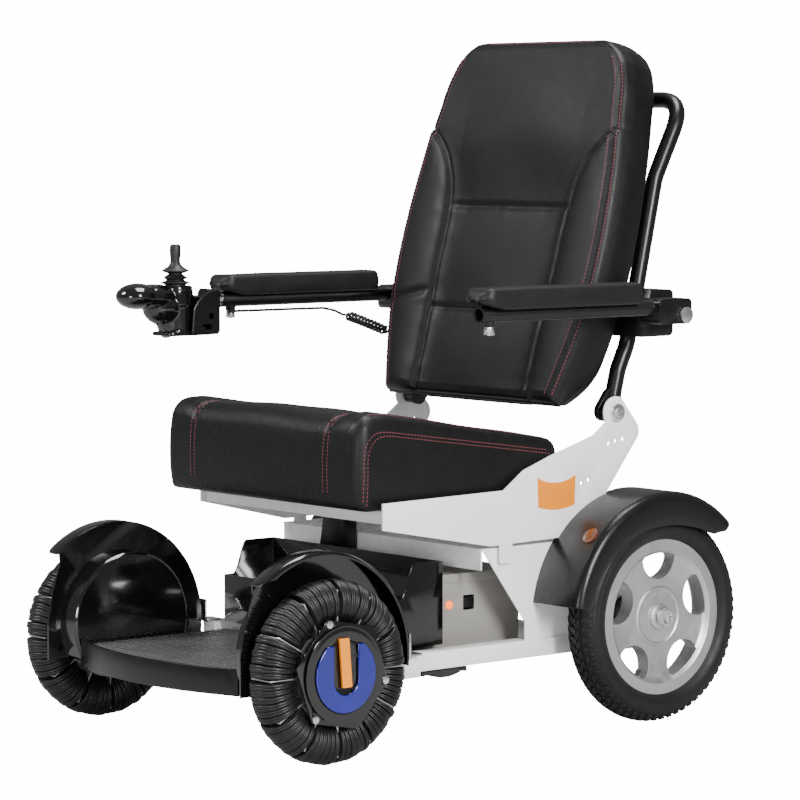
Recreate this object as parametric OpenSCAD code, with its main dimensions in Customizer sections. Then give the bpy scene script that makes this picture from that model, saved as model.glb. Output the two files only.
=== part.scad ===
// Power wheelchair with omni-directional front wheels, a reclining back
// and flip-up arms. X points to the user's left, -Y is the way it drives,
// and Z is up, with the floor at Z = 0.

/* [Base] */
// Distance between the front and rear axles
wheelbase = 604; // [570:2:700]
// Distance between the two rear wheels' mid-planes
rear_track = 590; // [570:2:660]
// Distance between the two front wheels' mid-planes
front_track = 544; // [524:2:612]

/* [Wheels] */
// Outside diameter of the rear tyre
tyre_d = 318; // [290:1:330]
// Width of the rear tyre
tyre_w = 62; // [52:1:66]
// Outside diameter of the front omni wheel
omni_d = 262; // [240:1:280]
// Width of the front omni wheel
omni_w = 64; // [56:1:66]

/* [Seat] */
// Width over the seat cushion
seat_w = 462; // [420:2:500]
// Length of the seat cushion
seat_l = 392; // [360:2:420]
// Thickness of the seat cushion at its front
seat_t = 140; // [110:1:168]

/* [Back] */
// Width of the back cushion
back_w = 440; // [380:2:460]
// Length of the back cushion, bottom to top
back_l = 560; // [470:2:670]
// Thickness of the back cushion
back_t = 78; // [65:1:80]
// Recline of the back from upright, in degrees
recline = 16; // [12:0.5:20]

/* [Arms] */
// Distance between the two arms
arm_track = 608; // [600:2:640]
// Length of an arm pad
pad_l = 312; // [260:2:320]
// Height of the arm tubes above the floor
arm_z = 621; // [604:1:644]

/* [Hidden] */
$fn = 64;
fit = 0.05;
gap = 0.3;

tyre_r = tyre_d / 2;
omni_r = omni_d / 2;

// Front fender: an arch centred a little above the axle.
arch_r = omni_r + 28;
arch_dz = 9;
arch_lip_a = 132;
arch_w = 29;

// The footplate's bowed edge is what reaches furthest to the front.
foot_ahead = 120;
foot_bow = 38;
nose_reach = max(omni_r, foot_ahead + 0.35 * foot_bow);

// The axles are placed so that the chair's length is centred on Y = 0.
front_y = -wheelbase / 2 + (nose_reach - tyre_r) / 2;
rear_y = front_y + wheelbase;
// The body, seat and arms keep their places ahead of the rear axle.
mid_y = rear_y - 306;
front_x = front_track / 2;
rear_x = rear_track / 2;

// Omni wheel: short rubber discs threaded in groups on a ring.
disc_r = omni_w / 2;
ring_r = omni_r - disc_r;
segment_count = 12;
discs_per_segment = 6;
segment_step = 360 / segment_count;
fin_t = 2;
fin_a = 2.6;
disc_step = (segment_step - fin_a) / discs_per_segment;
disc_t = (ring_r - disc_r) * disc_step * PI / 180 - 0.35;
ring_half = 10;
hub_r = ring_r - disc_r - 5;
plate_corner_r = 0.635 * omni_r;
plate_x = sqrt(disc_r * disc_r - pow(ring_r - plate_corner_r, 2)) + 2.5;
plate_t = 3;
cap_r = 0.385 * omni_r;
stub_r = 10;

// Rear wheel.
rim_r = tyre_r - 45;
bead_half = 20;
shaft_r = 9;

// Base structure.
rail_x = front_x - 32;
rail_w = 28;
rail_z = 108;
rail_h = 26;
rail_y0 = max(mid_y - 150, front_y + arch_r + 8);
rail_y1 = rear_y - 61;
deck_z = rail_z + rail_h;
sheet = 3;
body_x = rail_x - 5;
plate_out = body_x + 4;
body_y0 = mid_y + 20;
body_top = 275;

// Footplate, drums and tray.
drum_r = 103;
drum_z = omni_r + 22;
drum_in = front_x - 80;
shield_x = front_x - disc_r - 5;
foot_z = 128;
foot_half = drum_in - 2;
foot_front = front_y - foot_ahead;
foot_y1 = mid_y - 124;
tray_x = 200;
tray_y0 = mid_y - 121;
tray_y1 = mid_y - 25;
tray_z = deck_z + 2;
tray_low = 208;
tray_high = 258;
beam_z0 = 78;
beam_z1 = 100;

// Battery box.
bat_x = 175;
bat_y0 = mid_y - 18;
bat_y1 = mid_y + 150;
bat_z1 = 220;
lid_h = 13;

// Seat.
pan_z = 338;
seat_y0 = mid_y - 209;
seat_y1 = seat_y0 + seat_l;
cushion_z = pan_z + sheet + gap;
seat_half = seat_w / 2;
side_x = max(plate_out + 1, seat_half + 5);
pivot_y = mid_y + 279;
pivot_z = 462;
pin_r = 8;

// Back: its tube runs, as [y, z], before the arm clamps are added.
back_y0 = mid_y + 190;
back_z0 = 478;
tube_r = 12.5;
bend_r = tube_r + 0.5;
back_x = seat_half - 16;
tube_slope = 12.9;
tube_foot = [mid_y + 327, 560];
clamp_at = [mid_y + 337, 604];
tube_top = tube_foot + (back_l - 310) / cos(tube_slope) * [sin(tube_slope), cos(tube_slope)];
bar_at = tube_top + [62, 118];

// Arms.
arm_x = arm_track / 2;
arm_r = 12;
slide_r = 9;
pad_z0 = arm_z + arm_r + 1;
pad_t = 25;
pad_w = 58;
pad_y0 = mid_y - 57;
arm_y0 = mid_y - 48;
arm_pin = [mid_y + 342, arm_z - 12];
arm_box_half = 22;
clamp_x1 = arm_x - arm_box_half - 8;
knob_y = mid_y - 28;

// Controller, on the user's right.
ctl_x = -arm_x + 11;
ctl_half = 41;
ctl_z1 = arm_z + 22;
ctl_z0 = ctl_z1 - 62;
stick_y = mid_y - 142;
stick_z = ctl_z1 - 8;
bracket_y = mid_y - 78;
slide_back = mid_y + 180;

// ---- helpers ----

// Points on a circular arc, as [u, v].
function arc(c, r, a0, a1, n = 12) =
  [for (i = [0:n]) let (a = a0 + (a1 - a0) * i / n) c + r * [cos(a), sin(a)]];

// The outline of a rectangle with rounded corners.
function round_rect(x0, y0, x1, y1, r, n = 6) = concat(
  arc([x1 - r, y0 + r], r, -90, 0, n), arc([x1 - r, y1 - r], r, 0, 90, n),
  arc([x0 + r, y1 - r], r, 90, 180, n), arc([x0 + r, y0 + r], r, 180, 270, n));

// A [y, z] outline made solid from x0 to x1.
module slab_x(x0, x1, outline) {
  translate([x0, 0, 0]) rotate([90, 0, 90])
    linear_extrude(x1 - x0) polygon(outline);
}

// An [x, z] outline made solid from y0 to y1.
module slab_y(y0, y1, outline) {
  translate([0, y1, 0]) rotate([90, 0, 0])
    linear_extrude(y1 - y0) polygon(outline);
}

// An [x, y] outline made solid from z0 to z1.
module slab_z(z0, z1, outline) {
  translate([0, 0, z0]) linear_extrude(z1 - z0) polygon(outline);
}

// A box between two corners.
module block(p, q) {
  translate(p) cube(q - p);
}

// A round bar between two points.
module bar(p, q, r) {
  d = q - p;
  len = norm(d);
  translate(p) rotate([0, acos(d.z / len), atan2(d.y, d.x)])
    cylinder(h = len, r = r);
}

// A round bar along X through [y, z].
module bar_x(x0, x1, at, r) {
  translate([x0, at.x, at.y]) rotate([0, 90, 0]) cylinder(h = x1 - x0, r = r);
}

// An [r, x] profile turned about an X axis through [y, z].
module turn_x(at, profile, a0 = 0, a1 = 360) {
  translate([0, at.x, at.y]) rotate([90, 0, 90]) rotate([0, 0, a0])
    rotate_extrude(angle = a1 - a0, $fn = 96) polygon(profile);
}

// Draws a left-hand part, or its mirror image when side is -1.
module handed(side) {
  mirror([side < 0 ? 1 : 0, 0, 0]) children();
}

// ---- base ----

module base_frame() {
  color("white") {
    for (side = [-1, 1]) handed(side)
      block([rail_x - rail_w, rail_y0, rail_z], [rail_x, rail_y1, deck_z]);
    x = rail_x - rail_w;
    block([-x, rail_y0, beam_z1], [x, rail_y0 + 30, rail_z + 8]);
    block([-x, rail_y1 - 28, rail_z], [x, rail_y1, deck_z]);
    block([-x, bat_y0 - 4, rail_z], [x, bat_y1 + 10, rail_z + 4]);
    for (side = [-1, 1]) handed(side)
      block([x - 1, rail_y0, beam_z1], [rail_x, rail_y0 + 30, rail_z]);
  }
}

module belly_pan() {
  y0 = rail_y0 + 34;
  y1 = y0 + 84;
  color("black")
    slab_x(-rail_x, rail_x, concat(
      [[y0, rail_z], [y0, rail_z - 8]],
      arc([(y0 + y1) / 2, rail_z + 69], 82, 247, 293, 8),
      [[y1, rail_z - 8], [y1, rail_z]]));
}

module rear_body() {
  motor_at = [rear_y, tyre_r];
  y1 = rear_y + 24;
  low = tyre_r - 58;
  color("white") {
    for (side = [-1, 1]) handed(side)
      difference() {
        slab_x(body_x - sheet, body_x, [
          [body_y0, body_top], [body_y0 + 85, deck_z + 27], [body_y0 + 85, deck_z],
          [rail_y1 + 6, deck_z], [rail_y1 + 12, low], [y1 + 22, low],
          [y1 + 26, tyre_r + 20], [y1, body_top]]);
        bar_x(body_x - 9, body_x + 9, motor_at, 24);
      }
    x = body_x - sheet;
    block([-x, body_y0, body_top - sheet], [x, y1, body_top]);
    block([-x, y1 - sheet, tyre_r + 56], [x, y1, body_top - sheet]);
    block([-x, body_y0, body_top - 32], [x, body_y0 + sheet, body_top - sheet]);
  }
}

module battery_box() {
  color("gainsboro") difference() {
    slab_z(rail_z + 4, bat_z1, round_rect(-bat_x, bat_y0, bat_x, bat_y1, 8));
    slab_z(rail_z + 8, bat_z1 + 1,
      round_rect(4 - bat_x, bat_y0 + 4, bat_x - 4, bat_y1 - 4, 5));
    // Seats for the rocker switch and the lamp.
    block([bat_x - 12, bat_y0 + 54, 178], [bat_x + 1, bat_y0 + 76, 200]);
    bar_x(bat_x - 8, bat_x + 1, [bat_y0 + 26, 188], 5 + fit);
  }
}

module battery_lid() {
  color("gainsboro") difference() {
    union() {
      slab_z(bat_z1, bat_z1 + lid_h,
        round_rect(-bat_x - 1, bat_y0 - 1, bat_x + 1, bat_y1 + 1, 9));
      slab_z(bat_z1 - 6, bat_z1,
        round_rect(5 - bat_x, bat_y0 + 5, bat_x - 5, bat_y1 - 5, 4));
    }
    slab_z(bat_z1 - 7, bat_z1 + lid_h - 4,
      round_rect(9 - bat_x, bat_y0 + 9, bat_x - 9, bat_y1 - 9, 3));
  }
}

// Rocker switch: turns on a cross pin inside the box wall.
module power_switch() {
  y = bat_y0 + 65;
  color("black")
    slab_y(y - 10, y + 10, concat(
      [[bat_x - 9, 189]], arc([bat_x - 9, 189], 11, -52, -34, 3),
      [[bat_x + 0.5, 189]], arc([bat_x - 9, 189], 11, 34, 52, 3)));
}

module status_lamp() {
  color("orange") {
    bar_x(bat_x - 4, bat_x + 1.2, [bat_y0 + 26, 188], 5);
    bar_x(bat_x + 0.05, bat_x + 1.8, [bat_y0 + 26, 188], 6.2);
  }
}

module front_tray() {
  wall = 3;
  // The side walls rise to the rear in a soft step.
  step = [for (i = [0:10]) let (t = i / 10)
    [tray_y0 + 16 + 26 * t, tray_low + (tray_high - tray_low) * (1 - cos(180 * t)) / 2]];
  side = concat([[tray_y0, tray_z], [tray_y0, tray_low]], step,
    [[tray_y1, tray_high], [tray_y1, tray_z]]);
  color("black") {
    slab_z(tray_z, tray_z + wall, round_rect(-tray_x, tray_y0, tray_x, tray_y1, 2));
    for (s = [-1, 1]) handed(s) slab_x(tray_x - wall, tray_x, side);
    block([-tray_x, tray_y0, tray_z], [tray_x, tray_y0 + wall, tray_low]);
    block([-tray_x, tray_y1 - wall, tray_z], [tray_x, tray_y1, tray_high]);
    // Feet that stand on the side rails.
    for (s = [-1, 1]) handed(s)
      block([tray_x - 26, tray_y0 + 12, deck_z], [tray_x - 6, tray_y1 - 12, tray_z]);
  }
}

// The bowed front edge of the footplate, as [x, y], from right to left.
function foot_edge(off) = [for (i = [0:16]) let (u = i / 8 - 1)
  [foot_half * u, foot_front + off + foot_bow * (u * u - 0.35)]];

module footplate() {
  rib_count = 22;
  step = (foot_y1 - 12 - (foot_front + foot_bow)) / rib_count;
  color("dimgray") {
    slab_z(foot_z - 8, foot_z - 2, concat(foot_edge(6),
      [[foot_half, foot_y1], [-foot_half, foot_y1]]));
    for (i = [0:rib_count - 1]) {
      y = foot_front + foot_bow + 8 + i * step;
      block([-foot_half + 10, y, foot_z - 2], [foot_half - 10, y + step * 0.55, foot_z]);
    }
    // Legs down to the axle beam and the front cross member.
    for (x = [-110, 110]) {
      block([x - 14, front_y - 14, beam_z1], [x + 14, front_y + 14, foot_z - 8]);
      block([x - 14, rail_y0 + 2, rail_z + 8], [x + 14, rail_y0 + 24, foot_z - 8]);
    }
  }
}

module footplate_skirt() {
  color("black")
    slab_z(foot_z - 32, foot_z + 6, concat(foot_edge(0),
      [for (i = [16:-1:0]) foot_edge(5.7)[i]]));
}

// Steel cross beam with side arms, uprights and the two stub axles.
module front_axle() {
  up0 = drum_in + 12;
  up1 = up0 + 14;
  axle = [front_y, omni_r];
  color("black") {
    block([-up1, front_y - 18, beam_z0], [up1, front_y + 18, beam_z1]);
    for (x = [-110, 110])
      block([x - 16, front_y + 17, beam_z0 + 2], [x + 16, rail_y0 + 30, beam_z1]);
    for (side = [-1, 1]) handed(side) {
      slab_x(up0, up1, concat([[front_y - 18, beam_z0], [front_y + 18, beam_z0]],
        arc(axle, 18, 0, 180, 16)));
      bar_x(up1 - 1, shield_x + 1, axle, stub_r + 4);
      bar_x(up1, front_x + 16, axle, stub_r);
    }
  }
}

module front_fender(side) {
  at = [front_y, omni_r + arch_dz];
  low = beam_z1 + 2;
  outer = shield_x + arch_w;
  end_z = at.y + arch_r * sin(arch_lip_a);
  // The shield's front edge falls back under the arch, then drops upright.
  shield = concat(arc(at, arch_r - 1.2, 0, arch_lip_a - 1, 24),
    [at + arch_r * [-0.64, 0.65], at + arch_r * [-0.72, 0.42], at + arch_r * [-0.78, 0.1],
     [at.x - 0.78 * arch_r, low], [at.x + arch_r - 2, low]]);
  color("black") handed(side) difference() {
    union() {
      // Drum, which hides the axle's upright, and shield.
      turn_x([front_y, drum_z], [[0, drum_in], [drum_r - 4, drum_in], [drum_r, drum_in + 4],
        [drum_r, shield_x - sheet], [drum_r - sheet, shield_x - sheet],
        [drum_r - sheet, drum_in + sheet + 2], [0, drum_in + sheet]]);
      slab_x(shield_x - sheet, shield_x, shield);
      // Arch over the wheel, with a rounded outer edge.
      turn_x(at, [[arch_r - sheet, shield_x - 1], [arch_r, shield_x - 1],
        [arch_r, outer - 4], [arch_r - 4, outer], [arch_r - 7, outer],
        [arch_r - sheet, outer - 4]], -6, arch_lip_a);
    }
    block([0, at.x - 2 * arch_r, -50], [front_x * 2, at.x + 2 * arch_r, low]);
    bar_x(shield_x - 10, shield_x + 10, [front_y, omni_r], stub_r + 10);
    // The arch's outer front corner is cut away.
    slab_y(at.x - 2 * arch_r, at.x - 0.3 * arch_r, [[outer - 10, end_z - 2],
      [outer + 3, end_z + 11], [outer + 3, end_z - 30], [outer - 10, end_z - 30]]);
  }
}

// Flat steel stays from the side rails out to the fenders' rear edges.
module fender_stays() {
  y = front_y + arch_r + 1;
  color("silver")
    for (side = [-1, 1]) handed(side) {
      block([rail_x - 20, y, deck_z], [rail_x + 12, y + 30, deck_z + 3]);
      block([shield_x - 10, y, deck_z], [shield_x + 24, y + 3, deck_z + 34]);
    }
}

module rear_fender(side) {
  at = [rear_y + 8, tyre_r + 1];
  r = tyre_r + 32;
  inner = rear_x - tyre_w / 2 - 6;
  outer = rear_x + tyre_w / 2 + 8;
  web_y = rear_y - 141;
  color("black") handed(side) {
    turn_x(at, [[r - sheet, inner], [r, inner], [r, outer - 5], [r - 5, outer],
      [r - 8, outer], [r - sheet, outer - 5]], 49.3, 171);
    // Side lip on the rear half.
    turn_x(at, [[r - 16, outer - 3.2], [r - 6, outer - 3.2], [r - 6, outer - 0.5],
      [r - 16, outer - 0.5]], 51, 96);
    // Webs that bolt to the body's side plate.
    for (y = [web_y, rear_y]) {
      block([body_x, y - 14, body_top - 34], [inner + 4, y + 10, body_top - 8]);
      intersection() {
        block([inner, y - 14, body_top - 34], [inner + 4, y + 10, tyre_r + r]);
        bar_x(inner - 1, inner + 5, at, r - 1.5);
      }
    }
  }
}

module fender_reflectors() {
  r = tyre_r + 32;
  a = 138;
  x = rear_x + tyre_w / 2 - 20;
  color("darkorange")
    for (side = [-1, 1]) handed(side)
      translate([x, rear_y + 8, tyre_r + 1]) rotate([a - 90, 0, 0])
        translate([0, 0, r + 0.6]) cylinder(h = 4, r = 13);
}

module drive_motor(side) {
  at = [rear_y, tyre_r];
  color("dimgray") handed(side) difference() {
    union() {
      bar_x(body_x - 118, body_x - 16, at, 42);
      bar_x(body_x - 16, body_x - sheet, at, 46);
      bar_x(body_x - sheet, body_x + 14, at, 22);
    }
    bar_x(body_x - 40, body_x + 20, at, shaft_r + fit);
  }
}

module drive_shaft(side) {
  at = [rear_y, tyre_r];
  color("silver") handed(side) {
    bar_x(body_x - 38, rear_x + 28, at, shaft_r);
    translate([rear_x + 24.3, at.x, at.y]) rotate([0, 90, 0]) difference() {
      cylinder(h = 9, r = 14, $fn = 6);
      translate([0, 0, -1]) cylinder(h = 11, r = shaft_r - 0.5);
    }
  }
}

// ---- rear wheels ----

module rear_rim(side) {
  at = [rear_y, tyre_r];
  lip_r = rim_r + 4.5;
  color("silver") handed(side) translate([rear_x, 0, 0]) difference() {
    union() {
      turn_x(at, [[rim_r - 7, -bead_half - 3], [lip_r, -bead_half - 3],
        [lip_r, -bead_half - fit], [rim_r - fit, -bead_half - fit],
        [rim_r - fit, bead_half + fit], [lip_r, bead_half + fit],
        [lip_r, bead_half + 3], [rim_r - 7, bead_half + 3]]);
      // Dished spoke face.
      turn_x(at, [[20, 6], [rim_r - 34, 8], [rim_r - 6, 4], [rim_r - 6, 12],
        [rim_r - 34, 18], [40, 16], [34, 23], [20, 24]]);
      bar_x(-30, 24, at, 21);
    }
    bar_x(-40, 40, at, shaft_r);
    for (i = [0:4]) {
      a = 90 + 72 * i;
      slab_x(-5, 30, [for (p = concat(arc([0, 0], rim_r - 16, a - 25, a + 25, 8),
        [for (q = arc([0, 0], rim_r - 60, a + 15, a - 15, 4)) q])) at + p]);
    }
  }
}

module rear_tyre(side) {
  half = tyre_w / 2;
  top = tyre_r;
  mid = tyre_r - 23;
  color("#222222") handed(side) translate([rear_x, 0, 0])
    turn_x([rear_y, tyre_r], concat(
      [[rim_r, -bead_half], [rim_r + 5.2, -bead_half]],
      [for (a = [218:-8:-38]) [mid + (top - mid) * sin(a), half * cos(a)]],
      [[rim_r + 5.2, bead_half], [rim_r, bead_half]]));
}

// ---- omni wheels ----

module omni_hub(side) {
  at = [front_y, omni_r];
  color("silver") handed(side) translate([front_x, 0, 0]) difference() {
    union() {
      bar_x(-24, plate_x, at, hub_r - 14);
      turn_x(at, [[0, -6], [hub_r, -6], [hub_r, 6], [0, 6]]);
      turn_x(at, [[0, -25], [hub_r + 6, -25], [hub_r + 6, -22], [0, -22]]);
      for (i = [0:segment_count - 1])
        translate([0, at.x, at.y]) rotate([i * segment_step, 0, 0])
          block([-22, -fin_t / 2, hub_r - 6], [22, fin_t / 2, ring_r + 19]);
    }
    bar_x(-30, 16.5, at, stub_r + fit);
  }
}

// Rubber discs, six to a segment, on short arcs of the carrier ring.
module omni_discs(side) {
  at = [front_y, omni_r];
  half_a = segment_step / 2 - fin_a / 2;
  color("#1c1c1c") handed(side) translate([front_x, at.x, at.y])
    for (i = [0:segment_count - 1]) rotate([(i + 0.5) * segment_step, 0, 0]) {
      rotate([90, 0, 90]) rotate([0, 0, 90 - half_a])
        rotate_extrude(angle = 2 * half_a, $fn = 96)
          translate([ring_r - ring_half, -ring_half]) square(2 * ring_half);
      for (k = [0:discs_per_segment - 1])
        rotate([(k - (discs_per_segment - 1) / 2) * disc_step, 0, 0])
          translate([0, disc_t / 2, ring_r]) rotate([90, 0, 0])
            cylinder(h = disc_t, r = disc_r, $fn = 48);
    }
}

// Six-cornered outer plate with a shallow dish.
module omni_plate(side) {
  at = [front_y, omni_r];
  color("black") handed(side) translate([front_x, 0, 0]) difference() {
    union() {
      translate([plate_x, at.x, at.y]) rotate([19, 0, 0]) rotate([0, 90, 0])
        cylinder(h = plate_t, r = plate_corner_r, $fn = 6);
      turn_x(at, [[cap_r + 2, plate_x + plate_t - 1], [cap_r + 12, plate_x + plate_t - 1],
        [cap_r + 9, plate_x + plate_t + 4], [cap_r + 2, plate_x + plate_t + 4]]);
    }
    for (i = [0:2]) {
      a = 19 + 120 * i;
      bar_x(plate_x - 5, plate_x + 9,
        at + 0.92 * plate_corner_r * [-sin(a), cos(a)], 3);
    }
  }
}

module omni_cap(side) {
  at = [front_y, omni_r];
  x = plate_x + plate_t;
  color("blue") handed(side) translate([front_x, 0, 0]) {
    bar_x(x, x + 4, at, cap_r);
    // Raised horseshoe, open at the top, and an upright strip.
    turn_x(at, [[0.62 * cap_r, x + 3], [0.84 * cap_r, x + 3],
      [0.84 * cap_r, x + 6], [0.62 * cap_r, x + 6]], 125, 415);
    block([x + 3, at.x - 0.13 * cap_r, at.y - 0.1 * cap_r],
      [x + 6, at.x + 0.13 * cap_r, at.y + 0.92 * cap_r]);
  }
}

module omni_bolts(side) {
  at = [front_y, omni_r];
  color("silver") handed(side) translate([front_x, 0, 0])
    for (i = [0:2]) {
      a = 19 + 120 * i;
      c = at + 0.92 * plate_corner_r * [-sin(a), cos(a)];
      bar_x(plate_x + plate_t, plate_x + plate_t + 3.5, c, 5.5);
      bar_x(plate_x + 0.5, plate_x + plate_t + 1, c, 3);
    }
}

// ---- seat ----

// Raked column between the deck under the seat and the pan.
module seat_post() {
  y0 = mid_y - 14;
  color("black") {
    slab_y(y0, y0 + 30, [[-104, bat_z1 + lid_h], [-50, bat_z1 + lid_h],
      [-46, pan_z], [-84, pan_z]]);
  }
}

// The side plate's outline, from its nose up to the recline pivot at the rear.
function side_plate(nose) = concat(
  [[nose, pan_z - 21], [nose, pan_z + 17], [mid_y + 55, pan_z + 21],
   [mid_y + 94, pan_z + 48], [mid_y + 149, pan_z + 67], [mid_y + 234, 430]],
  arc([pivot_y, pivot_z], 24, 215, 60, 10),
  arc([pivot_y + 28, 432], 20, 40, -30, 5),
  [[mid_y + 251, 331], [mid_y + 235, 272], [mid_y + 204, 290],
   [mid_y + 164, 282], [mid_y + 30, 279]]);

// Seat pan between two side plates. The right plate's nose is set back.
module seat_frame() {
  nose = seat_y0 + 35;
  set_back = 40;
  front = nose + 21;
  corner = 18;
  rear = mid_y + 225;
  x = side_x;
  color("white") {
    for (s = [-1, 1]) handed(s) difference() {
      union() {
        slab_x(x, x + sheet, side_plate(s > 0 ? nose : nose + set_back));
        slab_x(x - sheet * 2, x + 1, [[front + set_back, pan_z - 2],
          [front + set_back, pan_z + sheet], [rear, pan_z + sheet], [rear, pan_z - 2]]);
        // Spacers that bolt to the body's side plate.
        for (y = [mid_y + 60, mid_y + 200]) {
          bar_x(body_x, x + 1, [y, 264], 9);
          slab_x(x, x + sheet, round_rect(y - 12, 252, y + 12, 300, 4));
        }
      }
      bar_x(x - 9, x + 9, [pivot_y, pivot_z], pin_r);
      for (p = [[265, 416], [279, 419], [294, 421], [210, 360], [224, 364]])
        bar_x(x - 9, x + 9, [mid_y + p.x, p.y], 3.2);
    }
    // Pan, with its front lip and cut corners.
    slab_z(pan_z, pan_z + sheet, [[-x, rear], [-x, front + set_back], [set_back - x, front],
      [x - corner, front], [x, front + corner], [x, rear]]);
    block([set_back - x, front, pan_z - 16], [x - corner, front + sheet, pan_z + 1]);
  }
}

// Thick front edge, rolled under, and a top that falls to the rear.
module seat_cushion() {
  top0 = cushion_z + seat_t;
  top1 = cushion_z + 0.62 * seat_t;
  r = seat_t * 0.36;
  color("#151515")
    slab_x(-seat_half, seat_half, concat(
      [[seat_y0 + 60, cushion_z]],
      arc([seat_y0 + r, cushion_z + 0.46 * seat_t], r, 220, 180, 4),
      arc([seat_y0 + r, top0 - r], r, 180, 95, 7),
      [[seat_y1 - 18, top1]],
      arc([seat_y1 - 18, top1 - 18], 18, 80, 0, 5),
      [[seat_y1 - 8, cushion_z]]));
}

module recline_pins() {
  color("silver")
    for (s = [-1, 1]) handed(s) {
      bar_x(back_x + 6, side_x + sheet, [pivot_y, pivot_z], pin_r);
      bar_x(side_x + sheet, side_x + sheet + 6, [pivot_y, pivot_z], 13);
    }
}

// ---- back ----

// One side's tube centre line, as [x, y, z], from the foot to the push bar.
function tube_run() = let (x = back_x) [
  [x, pivot_y + 20, pivot_z + 24], [x, mid_y + 309, 523],
  [x, tube_foot.x, tube_foot.y], [x, tube_top.x, tube_top.y],
  [x, bar_at.x - 8, bar_at.y - 24], [x - 8, bar_at.x, bar_at.y - 6],
  [x - 26, bar_at.x, bar_at.y]];

module back_frame() {
  run = tube_run();
  low_bar = run[2] + 0.12 * (run[3] - run[2]);
  high_bar = run[2] + 0.9 * (run[3] - run[2]);
  color("#111111") {
    for (s = [-1, 1]) handed(s) {
      for (i = [0:len(run) - 2]) bar(run[i], run[i + 1], tube_r);
      for (i = [1:len(run) - 1]) translate(run[i]) sphere(r = bend_r, $fn = 32);
      // Pivot ear, bored for the recline pin.
      difference() {
        slab_x(back_x - 4, back_x + 4, concat(
          arc([pivot_y, pivot_z], 14, 150, 330, 16),
          [[pivot_y + 40, pivot_z + 14], [pivot_y + 30, pivot_z + 44],
           [pivot_y - 4, pivot_z + 24]]));
        bar_x(back_x - 9, back_x + 9, [pivot_y, pivot_z], pin_r + fit);
      }
      difference() {
        bar_x(back_x + 3, side_x - gap, [pivot_y, pivot_z], 13);
        bar_x(back_x - 9, side_x + 9, [pivot_y, pivot_z], pin_r + fit);
      }
    }
    end = run[len(run) - 1];
    bar([-end.x, end.y, end.z], end, tube_r);
    for (p = [low_bar, high_bar]) bar([-p.x, p.y, p.z], p, 9);
    // Blocks on the cross bars, which the back panel bolts to.
    for (x = [-120, 120]) for (p = [low_bar, high_bar])
      back_frame_block(x, p);
  }
}

// A short post from a cross bar forward to the back panel.
module back_frame_block(x, p) {
  face = back_plane_y(p.z) + (back_t + 5 + gap) / cos(recline);
  translate([x, 0, 0]) slab_x(-12, 12, [
    [face + 7 * tan(recline), p.z + 7], [p.y, p.z + 7],
    [p.y, p.z - 7], [face - 7 * tan(recline), p.z - 7]]);
}

// The Y of the back cushion's front face at height z.
function back_plane_y(z) = back_y0 + (z - back_z0) * tan(recline);

// Places children with Z up the back, from the cushion's bottom front edge.
module on_back() {
  translate([0, back_y0, back_z0]) rotate([-recline, 0, 0]) children();
}

module back_panel() {
  half = back_w / 2 - 34;
  color("black") on_back()
    slab_y(back_t + gap, back_t + 5, round_rect(-half, 30, half, back_l - 60, 40));
}

// Widest a little below the middle, with rounded top corners.
module back_cushion() {
  half = back_w / 2;
  top = half - 30;
  r = 44;
  right = concat([[half - 30, 0], [half - 12, 20], [half + 8, 0.22 * back_l],
    [half + 16, 0.42 * back_l], [half + 6, 0.62 * back_l], [half - 12, 0.8 * back_l]],
    arc([top - r, back_l - r], r, 15, 90, 8));
  color("#151515") on_back()
    slab_y(0, back_t, concat(right,
      [for (i = [len(right) - 1:-1:0]) [-right[i].x, right[i].y]]));
}

// ---- arms ----

module arm_clamp(side) {
  z0 = arm_pin.y - 34;
  z1 = arm_pin.y + 36;
  run = tube_run();
  // Its front face follows the back cushion's rear face.
  face = back_t / cos(recline) + 2;
  color("#111111") handed(side) difference() {
    slab_x(back_x - 17, clamp_x1, concat([[back_plane_y(z0) + face, z0]],
      arc([clamp_at.x + 22, z0 + 8], 8, -90, 0, 5), arc([clamp_at.x + 22, z1 - 8], 8, 0, 90, 5),
      [[back_plane_y(z1) + face, z1]]));
    bar(run[1], run[2], tube_r + fit);
    bar(run[2], run[3], tube_r + fit);
    translate(run[2]) sphere(r = bend_r + fit, $fn = 32);
    bar_x(clamp_x1 - 12, clamp_x1 + 1, arm_pin, 9);
  }
}

module arm_pins() {
  color("silver")
    for (s = [-1, 1]) handed(s) {
      bar_x(clamp_x1 - 12, arm_x + arm_box_half + gap, arm_pin, 9);
      bar_x(arm_x + arm_box_half + gap, arm_x + arm_box_half + 4, arm_pin, 12);
    }
}

// Arm tube, bored for a slide tube from the front, and its pivot box.
module arm(side) {
  y1 = arm_pin.x + 13;
  x0 = arm_x - arm_box_half;
  x1 = arm_x + arm_box_half;
  color("#111111") handed(side) difference() {
    union() {
      bar([arm_x, arm_y0, arm_z], [arm_x, arm_pin.x - 40, arm_z], arm_r);
      slab_x(x0, x1, round_rect(arm_pin.x - 54, arm_pin.y - 13, y1, arm_pin.y + 25, 8));
      bar_x(clamp_x1 + gap, x0 + 1, arm_pin, 14);
      // Saddles under the pad.
      for (y = [pad_y0 + 62, pad_y0 + 212])
        block([arm_x - 9, y - 10, arm_z], [arm_x + 9, y + 10, pad_z0]);
      // Boss for the clamp knob.
      translate([arm_x, knob_y, arm_z - arm_r - 5]) cylinder(h = 12, r = 8);
    }
    bar([arm_x, arm_y0 - 1, arm_z], [arm_x, arm_y0 + 215, arm_z], slide_r + fit);
    bar_x(clamp_x1 - 1, x1 + 1, arm_pin, 9 + fit);
    translate([arm_x, knob_y, arm_z - arm_r - 6])
      cylinder(h = arm_r, r = 3 + fit);
  }
}

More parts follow.
